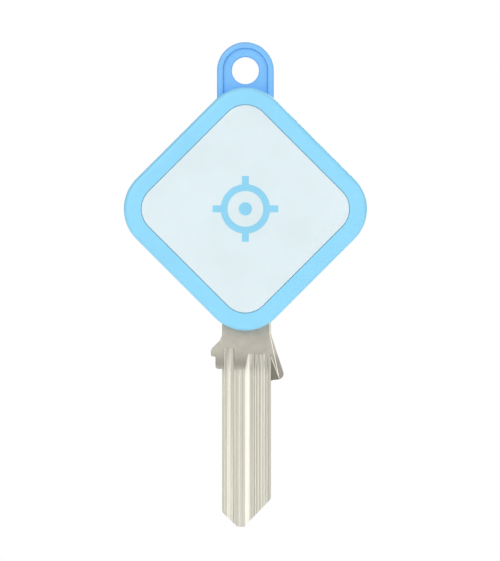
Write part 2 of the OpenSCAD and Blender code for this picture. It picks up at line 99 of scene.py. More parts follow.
def spoke(turn: float, reach: float) -> Vector:
    """Returns the way to a point on a ring round the depth axis, at a turn in radians from +X towards +Z."""
    return Vector((math.cos(turn), 0, math.sin(turn))) * reach


def show(name: str, data: bpy.types.ID) -> bpy.types.Object:
    """Puts a mesh, a camera or a light in the scene and returns its object."""
    made = bpy.data.objects.new(name, data)
    bpy.context.scene.collection.objects.link(made)
    return made


def remap(
    tree: bpy.types.NodeTree, value: bpy.types.NodeSocket, source: Span, result: Span, kind: str = "LINEAR"
) -> bpy.types.NodeSocket:
    """Maps a number from one span to another.

    Args:
        tree: The nodes that it goes in.
        value: The number.
        source: The span that is mapped.
        result: What its two ends become.
        kind: How it goes from one end to the other.

    Returns:
        The mapped number.
    """
    node = tree.nodes.new("ShaderNodeMapRange")
    node.interpolation_type = kind
    node.inputs["From Min"].default_value, node.inputs["From Max"].default_value = source
    node.inputs["To Min"].default_value, node.inputs["To Max"].default_value = result
    tree.links.new(value, node.inputs["Value"])
    return node.outputs["Result"]


def calculate(
    tree: bpy.types.NodeTree,
    how: str,
    first: bpy.types.NodeSocket | float,
    second: bpy.types.NodeSocket | float = 0.0,
) -> bpy.types.NodeSocket:
    """Works out one number from one or two others.

    Args:
        tree: The nodes that it goes in.
        how: The operation.
        first: A number or a socket.
        second: A number or a socket.

    Returns:
        The result.
    """
    node = tree.nodes.new("ShaderNodeMath")
    node.operation = how
    for socket, value in zip(node.inputs, (first, second)):
        if isinstance(value, bpy.types.NodeSocket):
            tree.links.new(value, socket)
        else:
            socket.default_value = value
    return node.outputs[0]


# ------------------------------------------------------------------------------------------------ shapes


class Solid:
    """A closed shape on the bench, built with mesh operators in the frame of the part."""

    def __init__(self) -> None:
        """Starts with an empty mesh."""
        self.bm = bmesh.new()

    @classmethod
    def plate(cls, corners: Sequence[Corner], y0: float, y1: float, segments: int = 8) -> "Solid":
        """Makes a flat plate from an outline with rounded corners.

        Args:
            corners: (x, z, rounding) of each corner, in order; rounding is the length taken off each side.
            y0: Depth of the first face.
            y1: Depth of the second face.
            segments: Facets in each rounded corner.

        Returns:
            The plate.
        """
        made = cls()
        points = [made.bm.verts.new((x, y0, z)) for x, z, _ in corners]
        made.bm.faces.new(points)
        for size in sorted({c[2] for c in corners if c[2] > 0}):
            chosen = [p for p, c in zip(points, corners) if c[2] == size]
            made._round_points(chosen, size, segments)
        return made._thicken(y1 - y0)

    @classmethod
    def diamond(cls, flats: float, rounding: float, centre: Vector, y0: float, y1: float) -> "Solid":
        """Makes a plate with the outline of a square stood on a corner.

        Args:
            flats: Distance across two opposite sides.
            rounding: Radius of the corners.
            centre: Centre of the outline; its y is ignored.
            y0: Depth of the first face.
            y1: Depth of the second face.

        Returns:
            The plate.
        """
        made = cls()
        spot = Matrix.Translation((centre.x, y0, centre.z)) @ FACE_ON
        ring = bmesh.ops.create_circle(
            made.bm, cap_ends=True, segments=4, radius=flats / math.sqrt(2), matrix=spot
        )
        made._round_points(ring["verts"], rounding, 18)
        return made._thicken(y1 - y0)

    @classmethod
    def disc(cls, radius: float, centre: Vector, y0: float, y1: float, segments: int = 96) -> "Solid":
        """Makes a round plate.

        Args:
            radius: Its radius.
            centre: Centre of the outline; its y is ignored.
            y0: Depth of the first face.
            y1: Depth of the second face.
            segments: Sides of the outline.

        Returns:
            The plate.
        """
        made = cls()
        spot = Matrix.Translation((centre.x, y0, centre.z)) @ FACE_ON
        bmesh.ops.create_circle(made.bm, cap_ends=True, segments=segments, radius=radius, matrix=spot)
        return made._thicken(y1 - y0)

    @classmethod
    def bar(cls, size: Vector, centre: Vector, turn: float = 0.0) -> "Solid":
        """Makes a box.

        Args:
            size: Its width, depth and height.
            centre: Its middle.
            turn: Turn about the depth axis, in radians, clockwise as seen from the front.

        Returns:
            The box.
        """
        made = cls()
        spot = Matrix.Translation(centre) @ Matrix.Rotation(turn, 4, "Y") @ Matrix.Diagonal((*size, 1))
        bmesh.ops.create_cube(made.bm, size=1, matrix=spot)
        return made

    @classmethod
    def sector(cls, radii: Span, arc: Span, centre: Vector, y0: float, y1: float) -> "Solid":
        """Makes a plate in the shape of part of a ring.

        Args:
            radii: Inner and outer radius.
            arc: First and last angle, in radians, from +X towards +Z.
            centre: Centre of the ring; its y is ignored.
            y0: Depth of the first face.
            y1: Depth of the second face.

        Returns:
            The plate.
        """
        made = cls()
        steps = max(4, int(abs(arc[1] - arc[0]) / math.radians(4)))
        bmesh.ops.create_grid(made.bm, x_segments=steps, y_segments=1, size=1)
        for point in made.bm.verts:
            angle = arc[0] + (arc[1] - arc[0]) * (point.co.x + 1) / 2
            reach = radii[0] + (radii[1] - radii[0]) * (point.co.y + 1) / 2
            point.co = Vector((centre.x, y0, centre.z)) + spoke(angle, reach)
        return made._thicken(y1 - y0)

    @classmethod
    def turned(cls, profile: Sequence[Corner], centre: Vector, steps: int = 96) -> "Solid":
        """Turns a profile about the depth axis, as on a lathe.

        Args:
            profile: (radius, y, rounding) of each corner of the closed profile, in order.
            centre: A point on the axis; its y is ignored.
            steps: Steps in the full turn.

        Returns:
            The turned shape.
        """
        made = cls()
        points = [made.bm.verts.new((centre.x + r, y, centre.z)) for r, y, _ in profile]
        made.bm.faces.new(points)
        for size in sorted({c[2] for c in profile if c[2] > 0}):
            chosen = [p for p, c in zip(points, profile) if c[2] == size]
            made._round_points(chosen, size, 4)
        bmesh.ops.delete(made.bm, geom=made.bm.faces[:], context="FACES_ONLY")
        on_axis = [e for e in made.bm.edges if all(v.co.x - centre.x < TINY for v in e.verts)]
        bmesh.ops.delete(made.bm, geom=on_axis, context="EDGES_FACES")
        bmesh.ops.spin(
            made.bm, geom=made.bm.verts[:] + made.bm.edges[:], cent=(centre.x, 0, centre.z), axis=(0, 1, 0),
            dvec=(0, 0, 0), angle=2 * math.pi, steps=steps, use_merge=True, use_duplicate=False,
        )
        return made._tidy()

    def _round_points(self, points: Iterable[bmesh.types.BMVert], size: float, segments: int) -> None:
        """Rounds corners of a flat outline.

        Args:
            points: The corners.
            size: Length taken off each side.
            segments: Facets in each rounded corner.
        """
        bmesh.ops.bevel(
            self.bm, geom=list(points), offset=size, offset_type="OFFSET", affect="VERTICES",
            segments=segments, profile=0.5, material=-1,
        )

    def _thicken(self, depth: float) -> "Solid":
        """Extrudes the flat faces along the depth axis and returns the closed shape."""
        grown = bmesh.ops.extrude_face_region(self.bm, geom=self.bm.faces[:])
        moved = [g for g in grown["geom"] if isinstance(g, bmesh.types.BMVert)]
        bmesh.ops.translate(self.bm, verts=moved, vec=(0, depth, 0))
        return self._tidy()

    def _tidy(self) -> "Solid":
        """Merges doubles, points the faces outwards and returns the shape."""
        bmesh.ops.remove_doubles(self.bm, verts=self.bm.verts[:], dist=TINY)
        bmesh.ops.recalc_face_normals(self.bm, faces=self.bm.faces[:])
        return self

    def round_rim(self, y: float, size: float, segments: int = 5) -> "Solid":
        """Rounds the sharp edges that lie at one depth.

        Args:
            y: The depth.
            size: Radius of the rounding.
            segments: Facets across it.

        Returns:
            The same shape.
        """
        chosen = [
            edge for edge in self.bm.edges
            if self._level(edge, y) and len(edge.link_faces) == 2 and edge.calc_face_angle() >= CRISP
        ]
        bmesh.ops.bevel(
            self.bm, geom=chosen, offset=size, offset_type="OFFSET", affect="EDGES",
            segments=segments, profile=0.5, material=-1, clamp_overlap=False,
        )
        return self

    @staticmethod
    def _level(part: bmesh.types.BMEdge | bmesh.types.BMFace, y: float) -> bool:
        """Says whether an edge or a face lies at one depth."""
        return all(abs(v.co.y - y) < 10 * TINY for v in part.verts)

    def sink(self, y: float, margin: float, floor: float) -> "Solid":
        """Sinks the middle of the broad face at one depth.

        Args:
            y: Depth of the face.
            margin: Width of the band left round the edge.
            floor: Depth of the sunk floor.

        Returns:
            The same shape.
        """
        face = max((f for f in self.bm.faces if self._level(f, y)), key=lambda f: f.calc_area())
        bmesh.ops.inset_region(self.bm, faces=[face], thickness=margin, use_even_offset=True)
        grown = bmesh.ops.extrude_face_region(self.bm, geom=[face])
        moved = [g for g in grown["geom"] if isinstance(g, bmesh.types.BMVert)]
        bmesh.ops.translate(self.bm, verts=moved, vec=(0, floor - y, 0))
        if face.is_valid:
            bmesh.ops.delete(self.bm, geom=[face], context="FACES_ONLY")
        return self._tidy()

    def flare(self, y: float, size: float) -> "Solid":
        """Widens a cutting tool at one end, so that the hole it leaves has a broken edge.

        Args:
            y: Depth of the surface that the tool goes through.
            size: Width of the broken edge.

        Returns:
            The same shape.
        """
        end = max((v.co.y for v in self.bm.verts), key=abs)
        outward = 1 if end > 0 else -1
        for depth in (y - outward * size, y + outward * size):
            bmesh.ops.bisect_plane(
                self.bm, geom=self.bm.verts[:] + self.bm.edges[:] + self.bm.faces[:], dist=TINY,
                plane_co=(0, depth, 0), plane_no=(0, 1, 0),
            )
        walls = [f for f in self.bm.faces if abs(f.normal.y) < 0.5]
        wide = [f for f in walls if outward * (f.calc_center_median().y - y) > size / 2]
        points = {v for f in wide for v in f.verts if outward * (v.co.y - y) > 0}
        shift = {}
        for point in points:
            sides = [f.normal for f in point.link_faces if abs(f.normal.y) < 0.5]
            push = sum(sides, Vector()).normalized()
            slant = max(0.3, min(push.dot(n) for n in sides))
            shift[point] = push * (2 * size / slant)
        for point, move in shift.items():
            point.co += move
        return self

    def meet(self, other: "Solid", cut: Cut) -> "Solid":
        """Adds another shape to this one, cuts it away or keeps what they share, and uses the other one up.

        Args:
            other: The other shape.
            cut: Which of the three.

        Returns:
            The same shape.
        """
        pair = []
        for shape in (self, other):
            mesh = bpy.data.meshes.new("bench")
            shape.bm.to_mesh(mesh)
            shape.bm.free()
            mesh.transform(Matrix.Scale(1 / MM, 4))
            pair.append(show("bench", mesh))
        step = pair[0].modifiers.new("meet", "BOOLEAN")
        step.operation, step.solver, step.object = cut.value, "MANIFOLD", pair[1]
        bpy.context.view_layer.update()
        shown = pair[0].evaluated_get(bpy.context.evaluated_depsgraph_get())
        self.bm = bmesh.new()
        self.bm.from_mesh(shown.to_mesh())
        shown.to_mesh_clear()
        self.bm.transform(Matrix.Scale(MM, 4))
        for spent in pair:
            mesh = spent.data
            bpy.data.objects.remove(spent)
            bpy.data.meshes.remove(mesh)
        return self._tidy()

    def carve(self, *tools: "Solid") -> "Solid":
        """Cuts each tool shape out of this one and returns it."""
        for tool in tools:
            self.meet(tool, Cut.REMOVE)
        return self

    def grow(self, *extras: "Solid") -> "Solid":
        """Adds each extra shape to this one and returns it."""
        for extra in extras:
            self.meet(extra, Cut.ADD)
        return self

    def beside(self, other: "Solid") -> "Solid":
        """Takes in the faces of a shape that stands clear of this one, and returns this one."""
        mesh = bpy.data.meshes.new("bench")
        other.bm.to_mesh(mesh)
        other.bm.free()
        self.bm.from_mesh(mesh)
        bpy.data.meshes.remove(mesh)
        return self


@dataclass(frozen=True)
class Piece:
    """What a finished mesh stands for and what it moves with."""

    name: str
    body: str
    slot: str
    stands_for: tuple[str, ...]

    def make(self, solid: Solid, finish: "Finish", sharp: float = 28.0) -> bpy.types.Object:
        """Turns a bench shape into a shown piece.

        Args:
            solid: The shape, which is used up.
            finish: The finish of its surface.
            sharp: Angle in degrees past which an edge is drawn crisp.

        Returns:
            The piece.
        """
        bmesh.ops.triangulate(
            solid.bm, faces=[f for f in solid.bm.faces if len(f.verts) > 4],
            quad_method="BEAUTY", ngon_method="BEAUTY",
        )
        mesh = bpy.data.meshes.new(self.name)
        solid.bm.to_mesh(mesh)
        solid.bm.free()
        mesh.shade_smooth()
        mesh.set_sharp_from_angle(angle=math.radians(sharp))
        piece = show(self.name, mesh)
        mesh.materials.append(finish.material())
        even = piece.modifiers.new("even_shading", "WEIGHTED_NORMAL")
        even.keep_sharp, even.weight = True, 100
        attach(piece, self.body)
        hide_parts(*self.stands_for)
        LOG.info("%s: %d faces, %s", self.name, len(mesh.polygons), type(finish).__name__)
        return piece


# ------------------------------------------------------------------------------------------------ finishes


class Effects:
    """Shader node groups that several finishes share. Each is built once."""

    _made: dict[str, bpy.types.NodeTree] = {}

    @classmethod
    def _new(cls, name: str, inputs: dict[str, float], outputs: Sequence[str]) -> bpy.types.NodeTree:
        """Makes an empty group with its sockets.

        Args:
            name: Name of the group.
            inputs: Name and usual value of each input number.
            outputs: Name of each output number.

        Returns:
            The group.
        """
        tree = bpy.data.node_groups.new(name, "ShaderNodeTree")
        for label, value in inputs.items():
            socket = tree.interface.new_socket(label, in_out="INPUT", socket_type="NodeSocketFloat")
            socket.default_value = value
        for label in outputs:
            tree.interface.new_socket(label, in_out="OUTPUT", socket_type="NodeSocketFloat")
        tree.nodes.new("NodeGroupInput").name = "in"
        tree.nodes.new("NodeGroupOutput").name = "out"
        cls._made[name] = tree
        return tree

    @classmethod
    def moulding(cls) -> bpy.types.NodeTree:
        """Returns the skin of a moulded plastic: a fine texture, and faint cloudy patches."""
        if "moulding" in cls._made:
            return cls._made["moulding"]
        tree = cls._new("moulding", {"Grain size": 0.12, "Patch size": 7.0}, ("Height", "Patches", "Speckle"))
        nodes, links = tree.nodes, tree.links
        place = nodes.new("ShaderNodeTexCoord")
        for label, output, detail in (("Grain size", "Height", 3.0), ("Patch size", "Patches", 2.0)):
            noise = nodes.new("ShaderNodeTexNoise")
            noise.inputs["Detail"].default_value = detail
            links.new(place.outputs["Object"], noise.inputs["Vector"])
            links.new(calculate(tree, "DIVIDE", 1 / MM, nodes["in"].outputs[label]), noise.inputs["Scale"])
            links.new(noise.outputs["Fac"], nodes["out"].inputs[output])
        speckle = nodes.new("ShaderNodeTexNoise")
        speckle.inputs["Scale"].default_value = 1 / (0.5 * MM)
        speckle.inputs["Detail"].default_value = 4.0
        links.new(place.outputs["Object"], speckle.inputs["Vector"])
        links.new(speckle.outputs["Fac"], nodes["out"].inputs["Speckle"])
        return tree

    @classmethod
    def brushing(cls) -> bpy.types.NodeTree:
        """Returns scratches that run along the key: fine lines, and broader streaks."""
        if "brushing" in cls._made:
            return cls._made["brushing"]
        tree = cls._new("brushing", {"Line width": 0.08, "Line length": 12.0}, ("Lines", "Streaks"))
        nodes, links = tree.nodes, tree.links
        place = nodes.new("ShaderNodeTexCoord")
        for output, factor in (("Lines", 1.0), ("Streaks", 6.0)):
            stretch = nodes.new("ShaderNodeCombineXYZ")
            for label, axes in (("Line width", "XY"), ("Line length", "Z")):
                size = calculate(tree, "DIVIDE", 1 / (MM * factor), nodes["in"].outputs[label])
                for axis in axes:
                    links.new(size, stretch.inputs[axis])
            scaled = nodes.new("ShaderNodeVectorMath")
            scaled.operation = "MULTIPLY"
            links.new(place.outputs["Object"], scaled.inputs[0])
            links.new(stretch.outputs[0], scaled.inputs[1])
            noise = nodes.new("ShaderNodeTexNoise")
            noise.inputs["Scale"].default_value = 1.0
            noise.inputs["Detail"].default_value = 3.0
            links.new(scaled.outputs[0], noise.inputs["Vector"])
            links.new(noise.outputs["Fac"], nodes["out"].inputs[output])
        return tree


Shade = tuple[float, float, float, float] | bpy.types.NodeSocket


@dataclass(frozen=True)
class Finish:
    """A surface finish: a colour, and how rough and uneven it is."""

    name: str
    colour: Colour
    roughness: float = 0.4
    unevenness: float = 0.05
    relief: float = 0.004

    def linear(self, shade: float = 1.0) -> tuple[float, float, float, float]:
        """Turns the 0-255 display colour into linear light.

        Args:
            shade: Factor on the result.

        Returns:
            Red, green, blue and a full alpha.
        """
        parts = []
        for value in self.colour:
            step = value / 255
            light = step / 12.92 if step <= 0.04045 else ((step + 0.055) / 1.055) ** 2.4
            parts.append(min(1.0, light * shade))
        return (*parts, 1.0)

    def material(self) -> bpy.types.Material:
        """Returns the finish's material, which is built on its first use."""
        if self.name in bpy.data.materials:
            return bpy.data.materials[self.name]
        made = bpy.data.materials.new(self.name)
        made.use_nodes = True
        self.paint(made.node_tree, made.node_tree.nodes["Principled BSDF"])
        return made

    def paint(self, tree: bpy.types.NodeTree, shader: bpy.types.ShaderNode) -> None:
        """Wires the finish's colour, roughness and relief.

        Args:
            tree: The material's nodes.
            shader: The shader that they feed.
        """
        raise NotImplementedError

    @staticmethod
    def group(tree: bpy.types.NodeTree, effect: bpy.types.NodeTree, **values: float) -> bpy.types.ShaderNode:
        """Places a shared effect in a material.

        Args:
            tree: The material's nodes.
            effect: The effect's group.
            values: Its inputs, with _ for each space.

        Returns:
            The group node.
        """
        node = tree.nodes.new("ShaderNodeGroup")
        node.node_tree = effect
        for label, value in values.items():
            node.inputs[label.replace("_", " ")].default_value = value
        return node

    @staticmethod
    def spread(
        tree: bpy.types.NodeTree, noise: bpy.types.NodeSocket, low: float = 0.0, high: float = 1.0
    ) -> bpy.types.NodeSocket:
        """Maps the middle of a noise's span to two values."""
        return remap(tree, noise, (0.3, 0.7), (low, high))

    @staticmethod
    def blend(
        tree: bpy.types.NodeTree, mask: bpy.types.NodeSocket, first: Shade, second: Shade
    ) -> bpy.types.NodeSocket:
        """Mixes two colours.

        Args:
            tree: The material's nodes.
            mask: How much of the second colour shows.
            first: A colour or a socket.
            second: A colour or a socket.

        Returns:
            The mixed colour.
        """
        mix = tree.nodes.new("ShaderNodeMix")
        mix.data_type = "RGBA"
        tree.links.new(mask, mix.inputs["Factor"])
        for socket, value in ((mix.inputs[6], first), (mix.inputs[7], second)):
            if isinstance(value, bpy.types.NodeSocket):
                tree.links.new(value, socket)
            else:
                socket.default_value = value
        return mix.outputs[2]

    def uneven(self, tree: bpy.types.NodeTree, noise: bpy.types.NodeSocket) -> bpy.types.NodeSocket:
        """Returns a roughness that follows a noise round the finish's own."""
        return self.spread(tree, noise, self.roughness - self.unevenness, self.roughness + self.unevenness)

    def bump(self, tree: bpy.types.NodeTree, shader: bpy.types.ShaderNode, height: bpy.types.NodeSocket) -> None:
        """Raises the surface by a pattern, as high as the finish's relief.

        Args:
            tree: The material's nodes.
            shader: The shader that is fed.
            height: The pattern.
        """
        node = tree.nodes.new("ShaderNodeBump")
        node.inputs["Distance"].default_value = self.relief * MM
        tree.links.new(height, node.inputs["Height"])
        tree.links.new(node.outputs["Normal"], shader.inputs["Normal"])


@dataclass(frozen=True)
class MouldedPlastic(Finish):
    """Injection-moulded plastic or rubber: even colour with faint clouds, and the texture of its mould."""

    grain: float = 0.14
    specular: float = 0.5

    def paint(self, tree: bpy.types.NodeTree, shader: bpy.types.ShaderNode) -> None:
        """Wires the finish's colour, roughness and relief.

        Args:
            tree: The material's nodes.
            shader: The shader that they feed.
        """
        skin = self.group(tree, Effects.moulding(), Grain_size=self.grain)
        clouds = self.spread(tree, skin.outputs["Patches"])
        colour = self.blend(tree, clouds, self.linear(0.975), self.linear(1.02))
        tree.links.new(colour, shader.inputs["Base Color"])
        tree.links.new(self.uneven(tree, skin.outputs["Speckle"]), shader.inputs["Roughness"])
        shader.inputs["Specular IOR Level"].default_value = self.specular
        self.bump(tree, shader, skin.outputs["Height"])


@dataclass(frozen=True)
class PlainMetal(Finish):
    """Sheet or turned metal with fine scratches along the part."""

    line_width: float = 0.1
    line_length: float = 3.0

    def paint(self, tree: bpy.types.NodeTree, shader: bpy.types.ShaderNode) -> None:
        """Wires the finish's colour, roughness and relief.

        Args:
            tree: The material's nodes.
            shader: The shader that they feed.
        """
        marks = self.group(tree, Effects.brushing(), Line_width=self.line_width, Line_length=self.line_length)
        tone = self.spread(tree, marks.outputs["Streaks"])
        tree.links.new(self.blend(tree, tone, self.linear(0.9), self.linear(1.05)), shader.inputs["Base Color"])
        tree.links.new(self.uneven(tree, marks.outputs["Lines"]), shader.inputs["Roughness"])
        shader.inputs["Metallic"].default_value = 1.0
        self.bump(tree, shader, marks.outputs["Lines"])


@dataclass(frozen=True)
class KeyNickel(Finish):
    """Nickel plate on a key: blasted matte on the neck, brushed bright lengthwise on the milled blade, with
    painted shade on the right shoulder and on its run-out facet, and a painted highlight along the coined right
    edges.
    """

    shoulder: float = 0.0
    half_thickness: float = 0.0
    blade_right: float = 0.0
    blade_colour: Colour = (240, 237, 222)
    streak_tones: Span = (0.74, 1.06)
    start_tones: Span = (0.5, 1.0)
    neck_tones: Span = (0.93, 1.05)
    # painted shade on the right shoulder, as a factor on the matte colour
    shoulder_shade_tone: float = 0.7
    # painted shade on the run-out facet of the right shoulder
    facet_shade_tone: float = 0.42
    # painted highlight on the coined right edges
    edge_highlight_tone: float = 1.1
    matte_roughness: Span = (0.48, 0.6)
    milled_roughness: Span = (0.24, 0.4)
    brightens: Span = (0.9 * MM, -1.5 * MM)
    # heights above the shoulder over which the painted shade on the right shoulder comes in
    shoulder_shade_span: Span = (3.4 * MM, 0.8 * MM)
    wards_end: Span = (4.4 * MM, 4.2 * MM)
    ward_depth: Span = (0.09 * MM, 0.12 * MM)
    coin_start: Span = (0.006 * MM, 0.014 * MM)
    coin_end: Span = (0.05 * MM, 0.058 * MM)
    coin_left: Span = (-0.4 * MM, -0.3 * MM)
    blade_end: Span = (0.05 * MM, -0.05 * MM)

    def paint(self, tree: bpy.types.NodeTree, shader: bpy.types.ShaderNode) -> None:
        """Wires the finish's colour, roughness and relief.

        Args:
            tree: The material's nodes.
            shader: The shader that they feed.
        """
        marks = self.group(tree, Effects.brushing(), Line_width=0.045, Line_length=20.0)
        skin = self.group(tree, Effects.moulding(), Grain_size=0.16, Patch_size=1.6)
        place = tree.nodes.new("ShaderNodeTexCoord")
        split = tree.nodes.new("ShaderNodeSeparateXYZ")
        tree.links.new(place.outputs["Object"], split.inputs[0])
        blade_only = self._rise(tree, split.outputs["X"], self.blade_right, self.blade_end)
        bright = self._rise(tree, split.outputs["Z"], self.shoulder, self.brightens)
        bright = calculate(tree, "MULTIPLY", bright, blade_only)
        shoulder_shade = self._rise(tree, split.outputs["Z"], self.shoulder, self.shoulder_shade_span)
        ward, edge = self._ward(tree, split), self._edge(tree, split)
        facet_shade = calculate(tree, "SUBTRACT", ward, blade_only)
        blade = Finish("blade", self.blade_colour)
        streaks = self.spread(tree, marks.outputs["Streaks"])
        clouds = self.spread(tree, skin.outputs["Patches"])
        lines = self.blend(tree, streaks, *map(blade.linear, self.streak_tones))
        started = self.blend(tree, streaks, *map(blade.linear, self.start_tones))
        matte = self.blend(tree, clouds, *map(self.linear, self.neck_tones))
        # Painted shade: the matte darkens towards the shoulder, which shows on the right shoulder beside the
        # blade.
        matte = self.blend(tree, shoulder_shade, matte, self.linear(self.shoulder_shade_tone))
        matte = self.blend(tree, calculate(tree, "MULTIPLY", ward, blade_only), matte, started)
        # Painted shade on the run-out facet that the wide ward leaves on the right shoulder.
        matte = self.blend(tree, facet_shade, matte, self.linear(self.facet_shade_tone))
        # Painted highlight along the coined right edges, brighter than the blade's own colour.
        matte = self.blend(tree, edge, matte, blade.linear(self.edge_highlight_tone))
        tree.links.new(self.blend(tree, bright, matte, lines), shader.inputs["Base Color"])
        milled = calculate(tree, "MAXIMUM", calculate(tree, "MAXIMUM", bright, ward), edge)
        rough = self._choose(
            tree, milled, self.spread(tree, skin.outputs["Speckle"], *self.matte_roughness),
            self.spread(tree, marks.outputs["Lines"], *self.milled_roughness),
        )
        tree.links.new(rough, shader.inputs["Roughness"])
        shader.inputs["Metallic"].default_value = 1.0
        self.bump(tree, shader, self._choose(tree, milled, skin.outputs["Height"], marks.outputs["Lines"]))

    def _ward(self, tree: bpy.types.NodeTree, split: bpy.types.ShaderNode) -> bpy.types.NodeSocket:
        """Returns a mask that is 1 in the wards, which lie deeper than the key's faces."""
        low = self._rise(tree, split.outputs["Z"], self.shoulder, self.wards_end)
        return calculate(tree, "MULTIPLY", self._below(tree, split, self.ward_depth), low)

    def _edge(self, tree: bpy.types.NodeTree, split: bpy.types.ShaderNode) -> bpy.types.NodeSocket:
        """Returns a mask that is 1 on the coined right edges, which lie just below the key's faces; they get lower
        roughness and a painted highlight.
        """
        below, past = self._below(tree, split, self.coin_start), self._below(tree, split, self.coin_end)
        right = self._rise(tree, split.outputs["X"], self.blade_right, self.coin_left)
        return calculate(tree, "MULTIPLY", calculate(tree, "SUBTRACT", below, past), right)

    def _below(self, tree: bpy.types.NodeTree, split: bpy.types.ShaderNode, depths: Span) -> bpy.types.NodeSocket:
        """Returns a mask that rises from 0 to 1 between two depths below the key's faces."""
        from_middle = calculate(tree, "ABSOLUTE", split.outputs["Y"])
        return self._rise(tree, from_middle, self.half_thickness, (-depths[0], -depths[1]))

    @staticmethod
    def _rise(
        tree: bpy.types.NodeTree, value: bpy.types.NodeSocket, origin: float, span: Span
    ) -> bpy.types.NodeSocket:
        """Returns a mask that rises smoothly from 0 to 1 between two distances from an origin."""
        return remap(tree, value, (origin + span[0], origin + span[1]), (0, 1), "SMOOTHSTEP")

    @staticmethod
    def _choose(
        tree: bpy.types.NodeTree,
        mask: bpy.types.NodeSocket,
        first: bpy.types.NodeSocket,
        second: bpy.types.NodeSocket,
    ) -> bpy.types.NodeSocket:
        """Returns a number that goes from the first to the second as a mask rises."""
        mix = tree.nodes.new("ShaderNodeMix")
        tree.links.new(mask, mix.inputs["Factor"])
        tree.links.new(first, mix.inputs[2])
        tree.links.new(second, mix.inputs[3])
        return mix.outputs[0]


# ------------------------------------------------------------------------------------------------ the head


HOOK_TURNS = [math.radians(45 + 90 * quarter) for quarter in range(4)]     # where the button's hooks are


@dataclass(frozen=True)
class HeadPlan:
    """Outline and depths of the diamond head, read from the frame."""

    corner: float = 7.4 * MM
    bezel: float = 3.0 * MM
    wall: float = 1.3 * MM
    edge: float = 0.9 * MM
    floor: float = 0.6 * MM
    screw_reach: float = 17.3 * MM
    tang_screw: float = 15.6 * MM
    seat_half: float = 7.5 * MM
    seat_top: float = 9.7 * MM
    seat_arc: float = 11.4 * MM
    seat_lap: float = 0.1 * MM

    @property
    def centre(self) -> Vector:
        """Middle of the diamond."""
        low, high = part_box("front_shell")
        return Vector(((low.x + high.x) / 2, 0, (low.z + high.z) / 2))

    @property
    def flats(self) -> float:
        """Distance across two opposite sides of the diamond."""
        low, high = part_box("front_shell")
        return 2 * (((high.z - low.z) / 2 - self.corner) / math.sqrt(2) + self.corner)

    @property
    def front(self) -> float:
        """Depth of the front face."""
        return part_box("front_shell")[0].y

    @property
    def seam(self) -> float:
        """Depth of the plane where the two shells meet."""
        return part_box("rear_shell")[0].y

    @property
    def rear(self) -> float:
        """Depth of the rear face."""
        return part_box("rear_shell")[1].y

    @property
    def floor_back(self) -> float:
        """Depth of the back of the front shell's floor."""
        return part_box("buzzer_adhesive")[0].y

    def dowels(self) -> tuple[float, list[Vector]]:
        """Returns the radius and the places of the two dowels that pin the key's tang."""
        low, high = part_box("blade_pins")
        radius, height = (high.z - low.z) / 2, (low.z + high.z) / 2
        return radius, [Vector((low.x + radius, 0, height)), Vector((high.x - radius, 0, height))]

    def screw_places(self) -> list[Vector]:
        """Returns the centres of the four screws."""
        reach = self.screw_reach
        around = [Vector((reach, 0, 0)), Vector((0, 0, reach)), Vector((-reach, 0, 0))]
        return [self.centre + spot for spot in [*around, Vector((0, 0, -self.tang_screw))]]

    def solid(self, inset: float, y0: float, y1: float) -> Solid:
        """Makes a plate with the head's outline.

        Args:
            inset: How far it stays inside the outline.
            y0: Depth of the first face.
            y1: Depth of the second face.

        Returns:
            The plate.
        """
        return Solid.diamond(self.flats - 2 * inset, self.corner - inset, self.centre, y0, y1)

    def strip(self, inset: float, left: float, right: float, top: float, y0: float, y1: float) -> Solid:
        """Makes the part of the head's outline that lies in a strip at its bottom corner.

        Args:
            inset: How far it stays inside the outline.
            left: Left side of the strip.
            right: Right side of the strip.
            top: How far below the head's centre the strip starts.
            y0: Depth of the first face.
            y1: Depth of the second face.

        Returns:
            The plate.
        """
        size = Vector((right - left, 20 * MM, 20 * MM))
        middle = self.centre + Vector(((left + right) / 2, 0, -top - size.z / 2))
        return self.solid(inset, y0, y1).meet(Solid.bar(size, middle), Cut.KEEP)

    def tang_seat(self, y0: float, y1: float) -> Solid:
        """Makes the block below the battery well that clamps the key's tang.

        Args:
            y0: Depth of the first face.
            y1: Depth of the second face.

        Returns:
            The block.
        """
        seat = self.strip(self.wall - self.seat_lap, -self.seat_half, self.seat_half, self.seat_top, y0, y1)
        return seat.carve(Solid.disc(self.seat_arc, self.centre, y0 - PAST, y1 + PAST))


